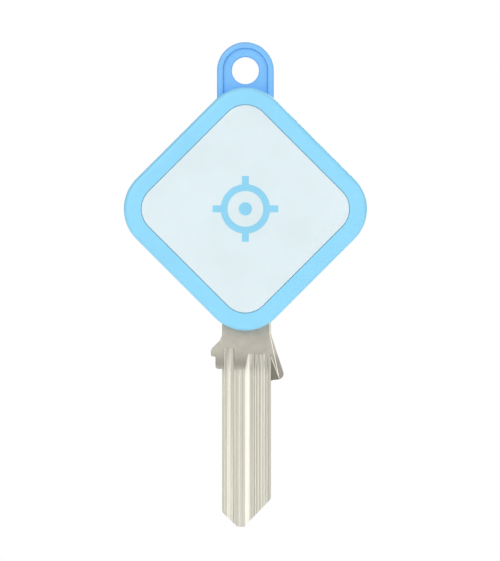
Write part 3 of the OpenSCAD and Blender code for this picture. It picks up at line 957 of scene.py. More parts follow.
@dataclass(frozen=True)
class FrontShell:
    """The pale bezel: side wall, rounded front edge, floor with its holes, and screw bosses."""

    plan: HeadPlan
    finish: Finish
    lip: float = 0.12 * MM
    boss: float = 1.5 * MM
    tongue: float = 0.6 * MM
    pilot: float = 0.8 * MM
    socket_floor: float = 0.15 * MM
    post_hole: float = 2.0 * MM
    hook_slot: Span = (1.5 * MM, 2.8 * MM)
    hook_reach: float = 12.35 * MM
    port: float = 0.45 * MM
    port_reach: float = 1.9 * MM
    neck: Span = (-4.05 * MM, 4.4 * MM)
    neck_top: float = 15 * MM

    def build(self) -> bpy.types.Object:
        """Builds the shell.

        Returns:
            The shown piece.
        """
        plan = self.plan
        shell = plan.solid(0, plan.front, plan.seam)
        shell.round_rim(plan.front, plan.edge, 7)
        shell.sink(plan.front, plan.bezel - plan.edge, plan.floor_back - plan.floor)
        shell.sink(plan.seam, plan.wall, plan.floor_back)
        shell.round_rim(plan.front, self.lip, 3)
        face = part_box("key_blade")[0].y - CLEAR
        shell.grow(
            self._tongue(), *self._bosses(), plan.tang_seat(plan.floor_back - LAP, face),
            plan.strip(0, *self.neck, self.neck_top, plan.seam - LAP, face),
        )
        shell.carve(*self._floor_holes(), *self._sockets())
        return Piece("bezel_shell", "housing", "bezel_plastic", ("front_shell",)).make(shell, self.finish)

    def _tongue(self) -> Solid:
        """Returns the rib that goes into the rear shell's groove, open where the key's neck passes."""
        plan = self.plan
        outside = plan.wall - self.tongue
        rib = plan.solid(outside, plan.seam - LAP, plan.seam + self.tongue)
        rib.carve(plan.solid(plan.wall, plan.seam - PAST, plan.seam + PAST))
        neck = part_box("key_blade")
        slot = Vector((8.6 * MM, 4 * MM, 10 * MM))
        return rib.carve(Solid.bar(slot, Vector((0.17 * MM, plan.seam, neck[1].z - 11 * MM))))

    def _bosses(self) -> list[Solid]:
        """Returns the screw posts that stand on the floor."""
        plan = self.plan
        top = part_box("front_shell")[1].y
        return [
            Solid.disc(self.boss, spot, plan.floor_back - LAP, top, 40)
            for spot in plan.screw_places()[:3]
        ]

    def _sockets(self) -> list[Solid]:
        """Returns tools for the screws' pilot holes and the dowels' sockets."""
        y0, y1 = self.plan.floor_back + self.socket_floor, 2 * MM
        radius, dowels = self.plan.dowels()
        pilots = [Solid.disc(self.pilot, spot, y0, y1, 32) for spot in self.plan.screw_places()]
        return [*pilots, *[Solid.disc(radius, spot, y0, y1, 32) for spot in dowels]]

    def _floor_holes(self) -> list[Solid]:
        """Returns tools for the post's hole, the hook slots and the sound ports."""
        plan = self.plan
        y0, y1 = plan.floor_back - PAST, plan.floor_back + 0.4 * MM
        tools = [Solid.disc(self.post_hole, plan.centre, y0, y1, 48)]
        for turn in HOOK_TURNS:
            spot = plan.centre + spoke(turn, self.hook_reach) + Vector((0, (y0 + y1) / 2, 0))
            tools.append(Solid.bar(Vector((self.hook_slot[0], y1 - y0, self.hook_slot[1])), spot, -turn))
        low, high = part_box("buzzer_plate")
        for sixth in range(6):
            spot = (low + high) / 2 + spoke(math.radians(60 * sixth), self.port_reach)
            tools.append(Solid.disc(self.port, spot, y0, y1, 24))
        return tools


@dataclass(frozen=True)
class FaceButton:
    """The pale panel that is pressed, with its post and its four snap hooks."""

    plan: HeadPlan
    finish: Finish
    gap: float = 0.035 * MM
    edge: float = 0.3 * MM
    ink: float = 0.02 * MM
    thickness: float = 1.1 * MM
    hook: Span = (0.8 * MM, 2.4 * MM)
    hook_reach: float = 12.6 * MM
    barb: float = 0.5 * MM
    post: float = 1.5 * MM
    lap: float = 0.2 * MM

    def build(self) -> bpy.types.Object:
        """Builds the button.

        Returns:
            The shown piece.
        """
        plan = self.plan
        back = plan.front + self.thickness
        panel = plan.solid(plan.bezel + self.gap, plan.front + self.ink, back)
        panel.round_rim(plan.front + self.ink, self.edge, 5)
        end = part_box("switch_plunger")[0].y
        panel.grow(Solid.disc(self.post, plan.centre, back - self.lap, end, 48))
        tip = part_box("face_button")[1].y
        panel.grow(*[self._hook(turn, back, tip) for turn in HOOK_TURNS])
        return Piece("face_panel", "face_button", "button_plastic", ("face_button",)).make(panel, self.finish)

    def _hook(self, turn: float, back: float, tip: float) -> Solid:
        """Makes one snap hook.

        Args:
            turn: Its direction from the head's centre, in radians.
            back: Depth of the panel's back.
            tip: Depth of the hook's end.

        Returns:
            The hook.
        """
        width = self.barb + self.lap
        reach = self.hook_reach + self.hook[0] / 2 + self.barb - width / 2
        parts = []
        for y0, along, wide in (
            (back - self.lap, self.hook_reach, self.hook[0]), (self.plan.floor_back + CLEAR, reach, width)
        ):
            spot = self.plan.centre + spoke(turn, along) + Vector((0, (y0 + tip) / 2, 0))
            parts.append(Solid.bar(Vector((wide, tip - y0, self.hook[1])), spot, -turn))
        return parts[0].grow(parts[1])


@dataclass(frozen=True)
class RearShell:
    """The deeper blue shell with the battery well, and the hanging lug moulded on it."""

    plan: HeadPlan
    finish: Finish
    plate: float = 1.2 * MM
    well: float = 10.3 * MM
    well_wall: float = 11.5 * MM
    door_bore: float = 11.05 * MM
    door_wall: float = 12.9 * MM
    recess: float = 12.6 * MM
    recess_depth: float = 0.8 * MM
    recess_edge: float = 0.16 * MM
    track: Span = (10.9 * MM, 11.75 * MM)
    track_floor: float = 1.5 * MM
    track_top: float = 2.5 * MM
    screw_post: float = 1.6 * MM
    screw_bore: float = 0.9 * MM
    head_recess: float = 1.5 * MM
    head_edge: float = 0.14 * MM
    groove: float = 0.7 * MM
    groove_depth: float = 0.95 * MM
    neck_way: Corner = (8.55 * MM, 0.17 * MM, 9 * MM)
    mark_reach: float = 13.5 * MM
    mark_depth: float = 0.15 * MM
    shut_mark: float = 0.4 * MM
    open_mark: Span = (0.25 * MM, 0.5 * MM)
    open_turn: float = math.radians(40)
    lug_foot: float = 12 * MM
    lug_edges: Span = (0.55 * MM, 0.32 * MM)
    lug_rim: float = 1.1 * MM
    lug_root: float = 0.45 * MM
    web: float = 1.8 * MM
    eye: float = 2.35 * MM

    def build(self) -> bpy.types.Object:
        """Builds the shell with its lug.

        Returns:
            The shown piece.
        """
        plan = self.plan
        inside = plan.rear - self.plate
        shell = plan.solid(0, plan.seam, plan.rear)
        shell.round_rim(plan.rear, plan.edge, 7)
        shell.sink(plan.seam, plan.wall, inside)
        shell.grow(self._lug())
        shell.grow(
            Solid.disc(self.well_wall, plan.centre, -0.35 * MM, inside + LAP + 0.1 * MM),
            Solid.disc(self.door_wall, plan.centre, 1.1 * MM, inside + LAP),
            *[
                Solid.disc(self.screw_post, spot, 0.5 * MM, inside + LAP + 0.05 * MM, 40)
                for spot in plan.screw_places()[:3]
            ],
            plan.tang_seat(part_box("key_blade")[1].y + CLEAR, inside + LAP),
        )
        shell.carve(*self._wells(), *self._screw_holes(), *self._grooves())
        return Piece("rear_case", "housing", "rear_plastic", ("rear_shell",)).make(shell, self.finish)

    def _wells(self) -> list[Solid]:
        """Returns tools for the battery well, the door's bore and recess, and its bayonet track."""
        centre, rear, edge = self.plan.centre, self.plan.rear, self.recess_edge
        floor, shelf, back = rear - self.recess_depth, self.track_floor, -2 * MM
        bore = Solid.turned(
            [(0, back, 0), (self.well, back, 0), (self.well, shelf, 0), (self.door_bore, shelf, 0),
             (self.door_bore, floor, 0), (self.recess, floor, 0), (self.recess, rear - edge, 0),
             (self.recess + 2 * edge, rear + edge, 0), (self.recess, rear + PAST, 0), (0, rear + PAST, 0)],
            centre, 128,
        )
        halves = [
            Solid.sector(self.track, (start, start + math.pi), centre, shelf, self.track_top)
            for start in (0, math.pi)
        ]
        entries = []
        for third in range(3):
            arc = (math.radians(120 * third), math.radians(120 * third) + math.radians(60))
            entries.append(Solid.sector(self.track, arc, centre, self.track_top - 0.1 * MM, floor + 0.1 * MM))
        return [bore, *halves, *entries]

    def _screw_holes(self) -> list[Solid]:
        """Returns tools for the screws' holes and the recesses of their heads."""
        rear, front, wide, edge = self.plan.rear, -3 * MM, self.head_recess, self.head_edge
        seat = rear - 1 * MM
        profile = [
            (0, front, 0), (self.screw_bore, front, 0), (self.screw_bore, seat, 0), (wide, seat, 0),
            (wide, rear - edge, 0), (wide + 2 * edge, rear + edge, 0), (wide, rear + PAST, 0), (0, rear + PAST, 0),
        ]
        return [Solid.turned(profile, spot, 48) for spot in self.plan.screw_places()]

    def _grooves(self) -> list[Solid]:
        """Returns tools for the seam's groove, the key's way out and the marks beside the door."""
        plan = self.plan
        lap = plan.solid(plan.wall - self.groove, plan.seam - PAST, plan.seam + self.groove_depth)
        lap.carve(plan.solid(plan.wall, plan.seam - 2 * PAST, plan.seam + 2 * PAST))
        y0, y1 = plan.seam - PAST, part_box("key_blade")[1].y + CLEAR
        wide, middle, tall = self.neck_way
        neck = Solid.bar(
            Vector((wide, y1 - y0, tall)), Vector((middle, (y0 + y1) / 2, plan.centre.z - 19.5 * MM))
        )
        y0, y1 = plan.rear - self.mark_depth, plan.rear + PAST
        shut = Solid.disc(self.shut_mark, plan.centre + Vector((0, 0, self.mark_reach)), y0, y1, 32)
        spot = plan.centre + spoke(self.open_turn, self.mark_reach)
        freed = Solid.disc(self.open_mark[1], spot, y0, y1, 32)
        freed.carve(Solid.disc(self.open_mark[0], spot, plan.rear - PAST, plan.rear + 2 * PAST, 24))
        return [lap, neck, shut, freed]

    def _lug(self) -> Solid:
        """Returns the hanging lug: a rounded rim, a thinner web and the eye."""
        plan = self.plan
        thick = -plan.seam
        lug = self._lug_plate(0, -thick, thick, self.lug_foot)
        for side in (-1, 1):
            lug.round_rim(side * thick, self.lug_edges[0], 6)
        for side in (-1, 1):
            lug.carve(self._lug_hollow(side, thick))
            lug.round_rim(side * thick, self.lug_edges[1], 6)
        eye, half, edge, far = self.eye, self.web / 2, 0.22 * MM, 4 * MM
        profile = [
            (0, -far, 0), (eye + 0.5 * MM, -far, 0), (eye + edge, -half, 0.2 * MM), (eye, -half + edge, 0.05 * MM),
            (eye, half - edge, 0.05 * MM), (eye + edge, half, 0.2 * MM), (eye + 0.5 * MM, far, 0), (0, far, 0),
        ]
        lug.carve(Solid.turned(profile, Vector(), 72))
        return lug.carve(plan.solid(0.6 * MM, -5 * MM, 5 * MM))

    def _lug_plate(self, inset: float, y0: float, y1: float, foot: float) -> Solid:
        """Makes a plate with the lug's outline, round at the top and straight down to its foot.

        Args:
            inset: How far it stays inside the outline.
            y0: Depth of the first face.
            y1: Depth of the second face.
            foot: How far below the eye it ends.

        Returns:
            The plate.
        """
        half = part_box("rear_shell")[1].z - inset
        top = half * 0.9999                        # nearly a half circle, so the two corners don't meet
        corners = [(-half, -foot, 0), (half, -foot, 0), (half, half, top), (-half, half, top)]
        return Solid.plate(corners, y0, y1, 28)

    def _lug_hollow(self, side: int, thick: float) -> Solid:
        """Makes the tool that thins the lug to its web on one side.

        Args:
            side: -1 for the front, 1 for the rear.
            thick: Half the thickness of the rim.

        Returns:
            The tool.
        """
        foot = self.lug_foot + 2 * MM
        hollow = self._lug_plate(self.lug_rim, side * self.web / 2, side * (thick + PAST), foot)
        hollow.round_rim(side * self.web / 2, self.lug_root, 7)
        return hollow


@dataclass(frozen=True)
class BatteryDoor:
    """The round door behind the coin cell, with a coin slot and three bayonet lugs."""

    plan: HeadPlan
    finish: Finish
    flange: float = 12.5 * MM
    flange_depth: float = 0.65 * MM
    seal_groove: Span = (11.8 * MM, 12.4 * MM)
    groove_floor: float = 0.26 * MM
    skirt: float = 10.95 * MM
    hollow: float = 10.2 * MM
    hollow_floor: float = 0.95 * MM
    lug: Span = (10.8 * MM, 11.65 * MM)
    lug_depths: Span = (0.05 * MM, 0.9 * MM)
    lug_half: float = math.radians(12)
    slot_half: float = 7.45 * MM
    slot_width: float = 1.9 * MM
    slot_depth: float = 0.5 * MM

    def build(self) -> bpy.types.Object:
        """Builds the door.

        Returns:
            The shown piece.
        """
        rear, centre = self.plan.rear, self.plan.centre
        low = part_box("battery_door")[0].y
        lip, groove, floor = rear - self.flange_depth, rear - self.groove_floor, rear - self.hollow_floor
        inner, outer = self.seal_groove
        door = Solid.turned(
            [(0, rear, 0), (self.flange, rear, 0.2 * MM), (self.flange, lip, 0.08 * MM), (outer, lip, 0),
             (outer, groove, 0), (inner, groove, 0), (inner, lip, 0), (self.skirt, lip, 0),
             (self.skirt, low, 0.12 * MM), (self.hollow, low, 0.12 * MM), (self.hollow, floor, 0), (0, floor, 0)],
            centre, 128,
        )
        for third in range(3):
            middle = math.radians(90 + 120 * third)
            arc = (middle - self.lug_half, middle + self.lug_half)
            door.grow(Solid.sector(self.lug, arc, centre, low + self.lug_depths[0], low + self.lug_depths[1]))
        door.carve(self._coin_slot(rear, centre), self._pointer(rear, centre))
        return Piece("cell_door", "battery_door", "door_plastic", ("battery_door",)).make(door, self.finish)

    def _coin_slot(self, rear: float, centre: Vector) -> Solid:
        """Makes the tool for the coin slot, with a broken edge.

        Args:
            rear: Depth of the door's outer face.
            centre: Centre of the door.

        Returns:
            The tool.
        """
        half, high = self.slot_half, self.slot_width / 2
        cut = high * ROUND_END
        corners = [
            (centre.x - half, centre.z - high, cut), (centre.x + half, centre.z - high, cut),
            (centre.x + half, centre.z + high, cut), (centre.x - half, centre.z + high, cut),
        ]
        slot = Solid.plate(corners, rear - self.slot_depth, rear + 0.6 * MM, 10)
        slot.round_rim(rear - self.slot_depth, 0.18 * MM, 3)
        return slot.flare(rear, 0.1 * MM)

    def _pointer(self, rear: float, centre: Vector) -> Solid:
        """Makes the tool for the small triangle that shows how far the door is turned.

        Args:
            rear: Depth of the door's outer face.
            centre: Centre of the door.

        Returns:
            The tool.
        """
        return Solid.disc(0.9 * MM, centre + Vector((0, 0, 10.9 * MM)), rear - 0.15 * MM, rear + 0.6 * MM, 3)


@dataclass(frozen=True)
class CaseScrews:
    """The four cross-head screws that hold the shells together."""

    plan: HeadPlan
    finish: Finish
    head: float = 1.4 * MM
    head_height: float = 0.85 * MM
    shank: float = 0.8 * MM
    arm: Corner = (1.7 * MM, 1.2 * MM, 0.36 * MM)
    askew: float = 0.3

    def build(self) -> bpy.types.Object:
        """Builds the screws.

        Returns:
            The shown piece.
        """
        low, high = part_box("housing_screws")
        screws = Solid()
        for spot in self.plan.screw_places():
            screw = Solid.turned(
                [(0, low.y, 0), (self.shank * 0.6, low.y, 0), (self.shank, low.y + 0.5 * MM, 0),
                 (self.shank, high.y - self.head_height, 0), (self.head, high.y - self.head_height, 0.05 * MM),
                 (self.head, high.y - 0.1 * MM, 0.25 * MM), (0, high.y, 0)],
                spot, 48,
            )
            for turn in (0, math.pi / 2):
                middle = spot + Vector((0, high.y + 0.1 * MM, 0))
                screw.carve(Solid.bar(Vector(self.arm), middle, turn + self.askew))
            screws.beside(screw)
        return Piece("case_screws", "housing", "screw_steel", ("housing_screws",)).make(screws, self.finish)


# ------------------------------------------------------------------------------------------------ the key


@dataclass(frozen=True)
class KeyBlade:
    """The key blank: tang, neck, two shoulders and the milled blade with its wards."""

    plan: HeadPlan
    finish: Finish
    left: float = -4.05 * MM
    right: float = 4.45 * MM
    below_eye: float = 79.4 * MM
    tang_half: float = 7.0 * MM
    tang_arc: float = 12.1 * MM
    tang_bore: float = 0.9 * MM
    burr: float = 0.14 * MM
    deep: float = -0.6 * MM
    ridges: int = 6
    ridge_pitch: float = 0.5 * MM
    ridge: float = 0.045 * MM
    land_ridge: float = 0.034 * MM
    start_depth: float = 0.55
    coin_step: float = 0.16 * MM
    coin_depth: float = 0.08 * MM
    narrow_start: Span = (53 * MM, 48.3 * MM)
    narrow_floor: float = -0.76 * MM
    land_start: Span = (52.1 * MM, 50.6 * MM)
    land_depth: float = 0.12 * MM
    wide_start: Span = (51.9 * MM, 49.3 * MM)
    wide_left: float = -0.22 * MM
    start_slant: float = 0.6 * MM
    back_start: float = 49.5 * MM
    back_floor: float = 0.4 * MM
    edge_start: float = 51.9 * MM
    edge_floor: float = 0.65 * MM

    def build(self) -> bpy.types.Object:
        """Builds the key.

        Returns:
            The shown piece.
        """
        low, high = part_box("key_blade")
        key = Solid.plate(self._outline(low.z, high.z), low.y, high.y, 7)
        for y in (low.y, high.y):
            key.round_rim(y, self.burr, 3)
        key.carve(*self._coined_edges(low.y), self._run_out(low.y))
        key.carve(*self._tang_cuts())
        key.carve(*self._wards(low, high))
        return Piece("key_blank", "housing", "key_nickel", ("key_blade",)).make(key, self.finish, 20.0)

    def _outline(self, tip: float, top: float) -> list[Corner]:
        """Returns the key's outline.

        Args:
            tip: Height of the tip.
            top: Height of the tang's top.

        Returns:
            Corners in order, from the neck down the right side and back up the left.
        """
        head = self.plan.centre.z
        eye = tip + self.below_eye
        return [
            (self.tang_half, top, 0), (self.tang_half, head - 14.6 * MM, 0),
            (self.right, head - 17.4 * MM, 0), (self.right, eye - 45.9 * MM, 0.6 * MM),
            (6.98 * MM, eye - 53.62 * MM, 1.3 * MM), (self.right, eye - 53.9 * MM, 0.25 * MM),
            (self.right, tip + 4.9 * MM, 0.35 * MM), (-0.22 * MM, tip, 0.12 * MM),
            (-1.35 * MM, tip, 0.12 * MM), (self.left, tip + 2.55 * MM, 0.3 * MM),
            (self.left, eye - 51.92 * MM, 0.15 * MM), (-5.2 * MM, eye - 51.92 * MM, 0.5 * MM),
            (-5.2 * MM, eye - 49.74 * MM, 0.2 * MM), (-6.02 * MM, eye - 49.74 * MM, 0.38 * MM),
            (-5.98 * MM, eye - 48.5 * MM, 0.36 * MM), (self.left, eye - 46.6 * MM, 0.75 * MM),
            (self.left, head - 17.4 * MM, 0), (-self.tang_half, head - 14.6 * MM, 0), (-self.tang_half, top, 0),
        ]

    def _coined_edges(self, front: float) -> list[Solid]:
        """Makes the tools for the low band along the front edge of the neck and the right shoulder.

        Args:
            front: Depth of the key's front face.

        Returns:
            The tools.
        """
        neck = Vector((4.2 * MM, front, -40 * MM)), Vector((4.2 * MM, front, -45.9 * MM))
        shoulder = Vector((4.18 * MM, front, -45.75 * MM)), Vector((5.98 * MM, front, -54.4 * MM))
        bands = []
        for ends, depth in ((neck, self.coin_depth * 0.8), (shoulder, self.coin_depth)):
            steps = [Vector(), Vector((self.coin_step, depth, 0)), Vector((3 * MM, depth, 0))]
            bands.append(self._wedge([end + step for step in steps for end in ends]))
        return bands

    def _run_out(self, front: float) -> Solid:
        """Makes the tool for the facet that the wide ward's cutter leaves on the right shoulder.

        Args:
            front: Depth of the key's front face.

        Returns:
            The tool.
        """
        top = Vector((self.right, front, -49.6 * MM))
        far = Vector((5.75 * MM, front, -52.9 * MM))
        near = Vector((self.right, self.deep + 0.1 * MM, -52.9 * MM))
        return self._wedge([top, top + (far - top) * 1.5, top + (near - top) * 1.5])

    @staticmethod
    def _wedge(points: Sequence[Vector]) -> Solid:
        """Makes the convex shape between some points and the space in front of them."""
        made = Solid()
        for point in points:
            for y in (0, -2 * MM):
                made.bm.verts.new(point + Vector((0, y, 0)))
        bmesh.ops.convex_hull(made.bm, input=made.bm.verts[:])
        return made._tidy()

    def _tang_cuts(self) -> list[Solid]:
        """Returns tools for the arc over the tang, its dowel holes and its screw hole."""
        y0, y1 = -3 * MM, 3 * MM
        radius, dowels = self.plan.dowels()
        return [
            Solid.disc(self.tang_arc, self.plan.centre, y0, y1),
            Solid.disc(self.tang_bore, self.plan.screw_places()[3], y0, y1, 40),
            *[Solid.disc(radius, spot, y0, y1, 40) for spot in dowels],
        ]

    def _wards(self, low: Vector, high: Vector) -> list[Solid]:
        """Returns tools for the grooves milled along both faces of the blade.

        Args:
            low: Lowest corner of the key's box.
            high: Highest corner of the key's box.

        Returns:
            The tools.
        """
        front, rear = low.y, high.y
        outside, behind = front - PAST, rear + PAST
        end, eye = low.z - PAST, low.z + self.below_eye
        floor, fine = self.narrow_floor, self.land_ridge
        narrow = self._mill(
            [(-3.88 * MM, outside), (-3.88 * MM, front), (-3.52 * MM, floor), (-3.13 * MM, floor),
             (-3.02 * MM, floor + self.ridge), (-2.83 * MM, floor), (-2.72 * MM, floor + self.ridge),
             (-2.37 * MM, floor), (-2.1 * MM, floor + 0.085 * MM), (-1.92 * MM, front), (-1.92 * MM, outside)],
            (end, *[eye - start for start in self.narrow_start]), lambda spot: self._shallow(spot, front),
        )
        step = front + self.land_depth
        land = self._mill(
            [(-1.95 * MM, outside), (-1.95 * MM, step), (-1.63 * MM, step - fine), (-1.5 * MM, step),
             (-1.07 * MM, step - fine), (-0.98 * MM, step), (-0.42 * MM, step - fine), (-0.3 * MM, step),
             (-0.1 * MM, step), (-0.1 * MM, outside)],
            (end, *[eye - start for start in self.land_start]), lambda spot: spot - Vector((0, 0.2 * MM, 0)),
        )
        wide = self._mill(
            self._wide_profile(front, outside), (end, *[eye - start for start in self.wide_start]),
            lambda spot: self._shallow(spot, front) + Vector((self.start_slant if spot.x < 0 else 0, 0, 0)),
        )
        back = self._mill(
            [(0.9 * MM, behind), (0.9 * MM, rear), (1.4 * MM, self.back_floor), (2.6 * MM, self.back_floor),
             (3.1 * MM, rear), (3.1 * MM, behind)],
            (end, eye - self.back_start),
        )
        edge = self._mill(
            [(self.left - PAST, behind), (self.left - PAST, self.edge_floor), (-3.1 * MM, self.edge_floor),
             (-2.7 * MM, rear), (-2.7 * MM, behind)],
            (end, eye - self.edge_start),
        )
        return [narrow, land, wide, back, edge]

    def _wide_profile(self, front: float, outside: float) -> list[Point]:
        """Returns the wide ward's profile: a sloping wall, and a floor with ridges left by the cutter.

        Args:
            front: Depth of the key's front face.
            outside: Depth in front of it where the profile is closed.

        Returns:
            (x, y) of each corner.
        """
        left, deep = self.wide_left, self.deep
        profile = [(left, outside), (left, front), (0.64 * MM, deep), (0.74 * MM, deep + 0.03 * MM)]
        for ridge in range(self.ridges):
            x = 1.14 * MM + ridge * self.ridge_pitch
            rise = (0.7 if ridge == 0 else 0.5) * self.ridge_pitch
            profile.append((x, deep - self.ridge))
            profile.append((x + rise, deep + self.ridge))
            profile.append((x + rise + 0.09 * MM, deep - self.ridge))
        edge = self.right + 0.02 * MM
        return [*profile, (edge, deep), (edge, outside)]

    def _shallow(self, spot: Vector, face: float) -> Vector:
        """Lifts a point of a groove's floor to where it lies at the groove's start.

        Args:
            spot: The point.
            face: Depth of the face that the groove is cut into.

        Returns:
            The lifted point.
        """
        below = max(0.0, spot.y - face)
        return Vector((spot.x, spot.y - below * (1 - self.start_depth), spot.z))

    @staticmethod
    def _mill(
        profile: Sequence[Point], heights: Sequence[float], start: Callable[[Vector], Vector] | None = None
    ) -> Solid:
        """Makes a milling tool: a profile in x and y, drawn up the blade.

        Args:
            profile: (x, y) of each corner.
            heights: Heights of the profile, from past the tip to the groove's start.
            start: Moves each corner of the profile at the groove's start.

        Returns:
            The tool.
        """
        made = Solid()
        last = made.bm.faces.new([made.bm.verts.new((x, y, heights[0])) for x, y in profile])
        for height in heights[1:]:
            grown = bmesh.ops.extrude_face_region(made.bm, geom=[last])
            if height != heights[1] and last.is_valid:
                bmesh.ops.delete(made.bm, geom=[last], context="FACES_ONLY")
            last = next(g for g in grown["geom"] if isinstance(g, bmesh.types.BMFace))
            for point in last.verts:
                point.co.z = height
                if start and height == heights[-1]:
                    point.co = start(point.co)
        return made._tidy()


# ------------------------------------------------------------------------------------------------ inside the case


@dataclass(frozen=True)
class SnapDome:
    """The spring-steel dome in the switch, built in its resting shape; the real one flattens when the face button
    is pressed.
    """

    finish: Finish
    metal: float = 0.06 * MM
    pressed: float = 0.3
    facets: int = 8

    def build(self) -> bpy.types.Object:
        """Builds the dome.

        Returns:
            The shown piece.
        """
        low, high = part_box("snap_dome")
        rim, rise = (high.x - low.x) / 2, high.y - low.y
        radius = (rim * rim + rise * rise) / (2 * rise)
        outer = self._arc(radius, low.y, high.y)
        inner = self._arc(radius - self.metal, low.y + self.metal, high.y)
        middle = (low + high) / 2
        dome = Solid.turned([*outer, *reversed(inner)], middle, 48)
        piece = Piece("dome_disc", "housing", "dome_steel", ("snap_dome",)).make(dome, self.finish)
        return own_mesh(piece)

    def _arc(self, radius: float, top: float, rim: float) -> list[Corner]:
        """Returns the profile of a round cap.

        Args:
            radius: Radius of the ball that the cap is part of.
            top: Depth of the cap's top.
            rim: Depth of the cap's rim.

        Returns:
            (radius, y, rounding) of points from the top to the rim.
        """
        reach = math.acos(1 - (rim - top) / radius)
        turns = [reach * step / self.facets for step in range(self.facets + 1)]
        return [(radius * math.sin(turn), top + radius * (1 - math.cos(turn)), 0) for turn in turns]


@dataclass(frozen=True)
class Internals:
    """Dresses the frame's own solids: the parts inside the case, and the symbol on the button."""

    dress: dict[str, Finish]

    def build(self) -> None:
        """Gives each node its finish."""
        for name, finish in self.dress.items():
            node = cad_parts[name]
            material = finish.material()
            if not node.material_slots:
                node.data.materials.append(material)
            for holder in node.material_slots:
                holder.material = material
            LOG.info("%s: %s", name, finish.name)


# ------------------------------------------------------------------------------------------------ studio


@dataclass(frozen=True)
class PaperFloor(Finish):
    """Pale backdrop paper with a faint glow, so that it stays even as far as it goes."""

    glow: float = 0.3

    def paint(self, tree: bpy.types.NodeTree, shader: bpy.types.ShaderNode) -> None:
        """Wires the finish's colour, roughness and glow.

        Args:
            tree: The material's nodes.
            shader: The shader that they feed.
        """
        fibre = self.group(tree, Effects.moulding(), Grain_size=2.0, Patch_size=60.0)
        clouds = self.spread(tree, fibre.outputs["Patches"])
        colour = self.blend(tree, clouds, self.linear(0.99), self.linear(1.0))
        tree.links.new(colour, shader.inputs["Base Color"])
        tree.links.new(colour, shader.inputs["Emission Color"])
        shader.inputs["Emission Strength"].default_value = self.glow
        shader.inputs["Roughness"].default_value = self.roughness
        shader.inputs["Specular IOR Level"].default_value = 0.1


@dataclass(frozen=True)
class Studio:
    """Camera, floor and soft light."""

    margin: float = 1.157
    shift_right: float = 0.8 * MM
    shift_up: float = 0.7 * MM
    lens: float = 500.0
    sensor: float = 36.0
    drop: float = 118 * MM
    lights: tuple[tuple[str, Corner, float, float], ...] = (
        ("key_light", (0.8, -0.6, 0.16), 0.72, 1.6),
        ("fill_light", (-0.4, -0.85, 0.45), 0.6, 3.25),
        ("top_light", (0.0, -0.1, 0.85), 0.5, 0.9),
        ("rear_light", (0.4, 0.8, 0.45), 0.6, 3.4),
    )

    def build(self) -> None:
        """Sets up the camera, the floor, the lights and the surroundings."""
        low, high = CAD_BOX
        self._camera(low, high)
        self._floor(low)
        self._surroundings()
        middle = (low + high) / 2
        for name, offset, size, power in self.lights:
            self._softbox(name, middle, Vector(offset), size, power)

    def _camera(self, low: Vector, high: Vector) -> None:
        """Places the camera in front of the tag.

        Args:
            low: Lowest corner of the object.
            high: Highest corner of the object.
        """
        data = bpy.data.cameras.new("camera")
        data.lens, data.sensor_width = self.lens, self.sensor
        data.clip_start, data.clip_end = 0.01, 20.0
        camera = show("camera", data)
        height = (high.z - low.z) * self.margin
        away = height * self.lens / data.sensor_width
        camera.location = (
            (low.x + high.x) / 2 + self.shift_right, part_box("key_blade")[0].y - away,
            (low.z + high.z) / 2 + self.shift_up,
        )
        camera.rotation_euler = (math.pi / 2, 0, 0)
        bpy.context.scene.camera = camera

    def _floor(self, low: Vector) -> None:
        """Lays the pale floor below the tip.

        Args:
            low: Lowest corner of the object.
        """
        mesh = bpy.data.meshes.new("floor")
        ground = bmesh.new()
        bmesh.ops.create_circle(ground, cap_ends=True, segments=64, radius=3.0)
        bmesh.ops.translate(ground, verts=ground.verts[:], vec=(0, 0, low.z - self.drop))
        ground.to_mesh(mesh)
        ground.free()
        floor = show("floor", mesh)
        mesh.materials.append(PaperFloor("paper_floor", (247, 248, 249), 0.85).material())

    def _surroundings(self) -> None:
        """Lights the room softly, brighter from above and from the front, with a white backdrop."""
        world = bpy.data.worlds.new("studio")
        bpy.context.scene.world = world
        world.use_nodes = True
        nodes, links = world.node_tree.nodes, world.node_tree.links
        nodes.clear()
        place = nodes.new("ShaderNodeTexCoord")
        split = nodes.new("ShaderNodeSeparateXYZ")
        links.new(place.outputs["Generated"], split.inputs[0])
        upward = remap(world.node_tree, split.outputs["Z"], (-0.7, 0.7), (0.7, 1.15))
        forward = remap(world.node_tree, split.outputs["Y"], (-0.95, 0.1), (0.56, 0.26), "SMOOTHSTEP")
        room = nodes.new("ShaderNodeBackground")
        room.inputs["Color"].default_value = (0.99, 0.995, 1.0, 1.0)
        links.new(calculate(world.node_tree, "MULTIPLY", upward, forward), room.inputs["Strength"])
        backdrop = nodes.new("ShaderNodeBackground")
        backdrop.inputs["Strength"].default_value = 1.0
        backdrop.inputs["Color"].default_value = (1, 1, 1, 1)
        seen = nodes.new("ShaderNodeLightPath")
        either = nodes.new("ShaderNodeMixShader")
        out = nodes.new("ShaderNodeOutputWorld")
        links.new(seen.outputs["Is Camera Ray"], either.inputs["Fac"])
        links.new(room.outputs[0], either.inputs[1])
        links.new(backdrop.outputs[0], either.inputs[2])
        links.new(either.outputs[0], out.inputs["Surface"])
        view = bpy.context.scene.view_settings
        view.view_transform, view.look = "Standard", "None"

    def _softbox(self, name: str, target: Vector, offset: Vector, size: float, power: float) -> None:
        """Hangs a square soft light.

        Args:
            name: Its name.
            target: What it faces.
            offset: Where it is, from the target.
            size: Length of its sides, in metres.
            power: Its power, in watts.
        """
        data = bpy.data.lights.new(name, "AREA")
        data.size, data.energy = size, power
        lamp = show(name, data)
        lamp.location = target + offset
        lamp.rotation_mode = "QUATERNION"
        lamp.rotation_quaternion = (-offset).to_track_quat("-Z", "Y")


# ------------------------------------------------------------------------------------------------ the tag


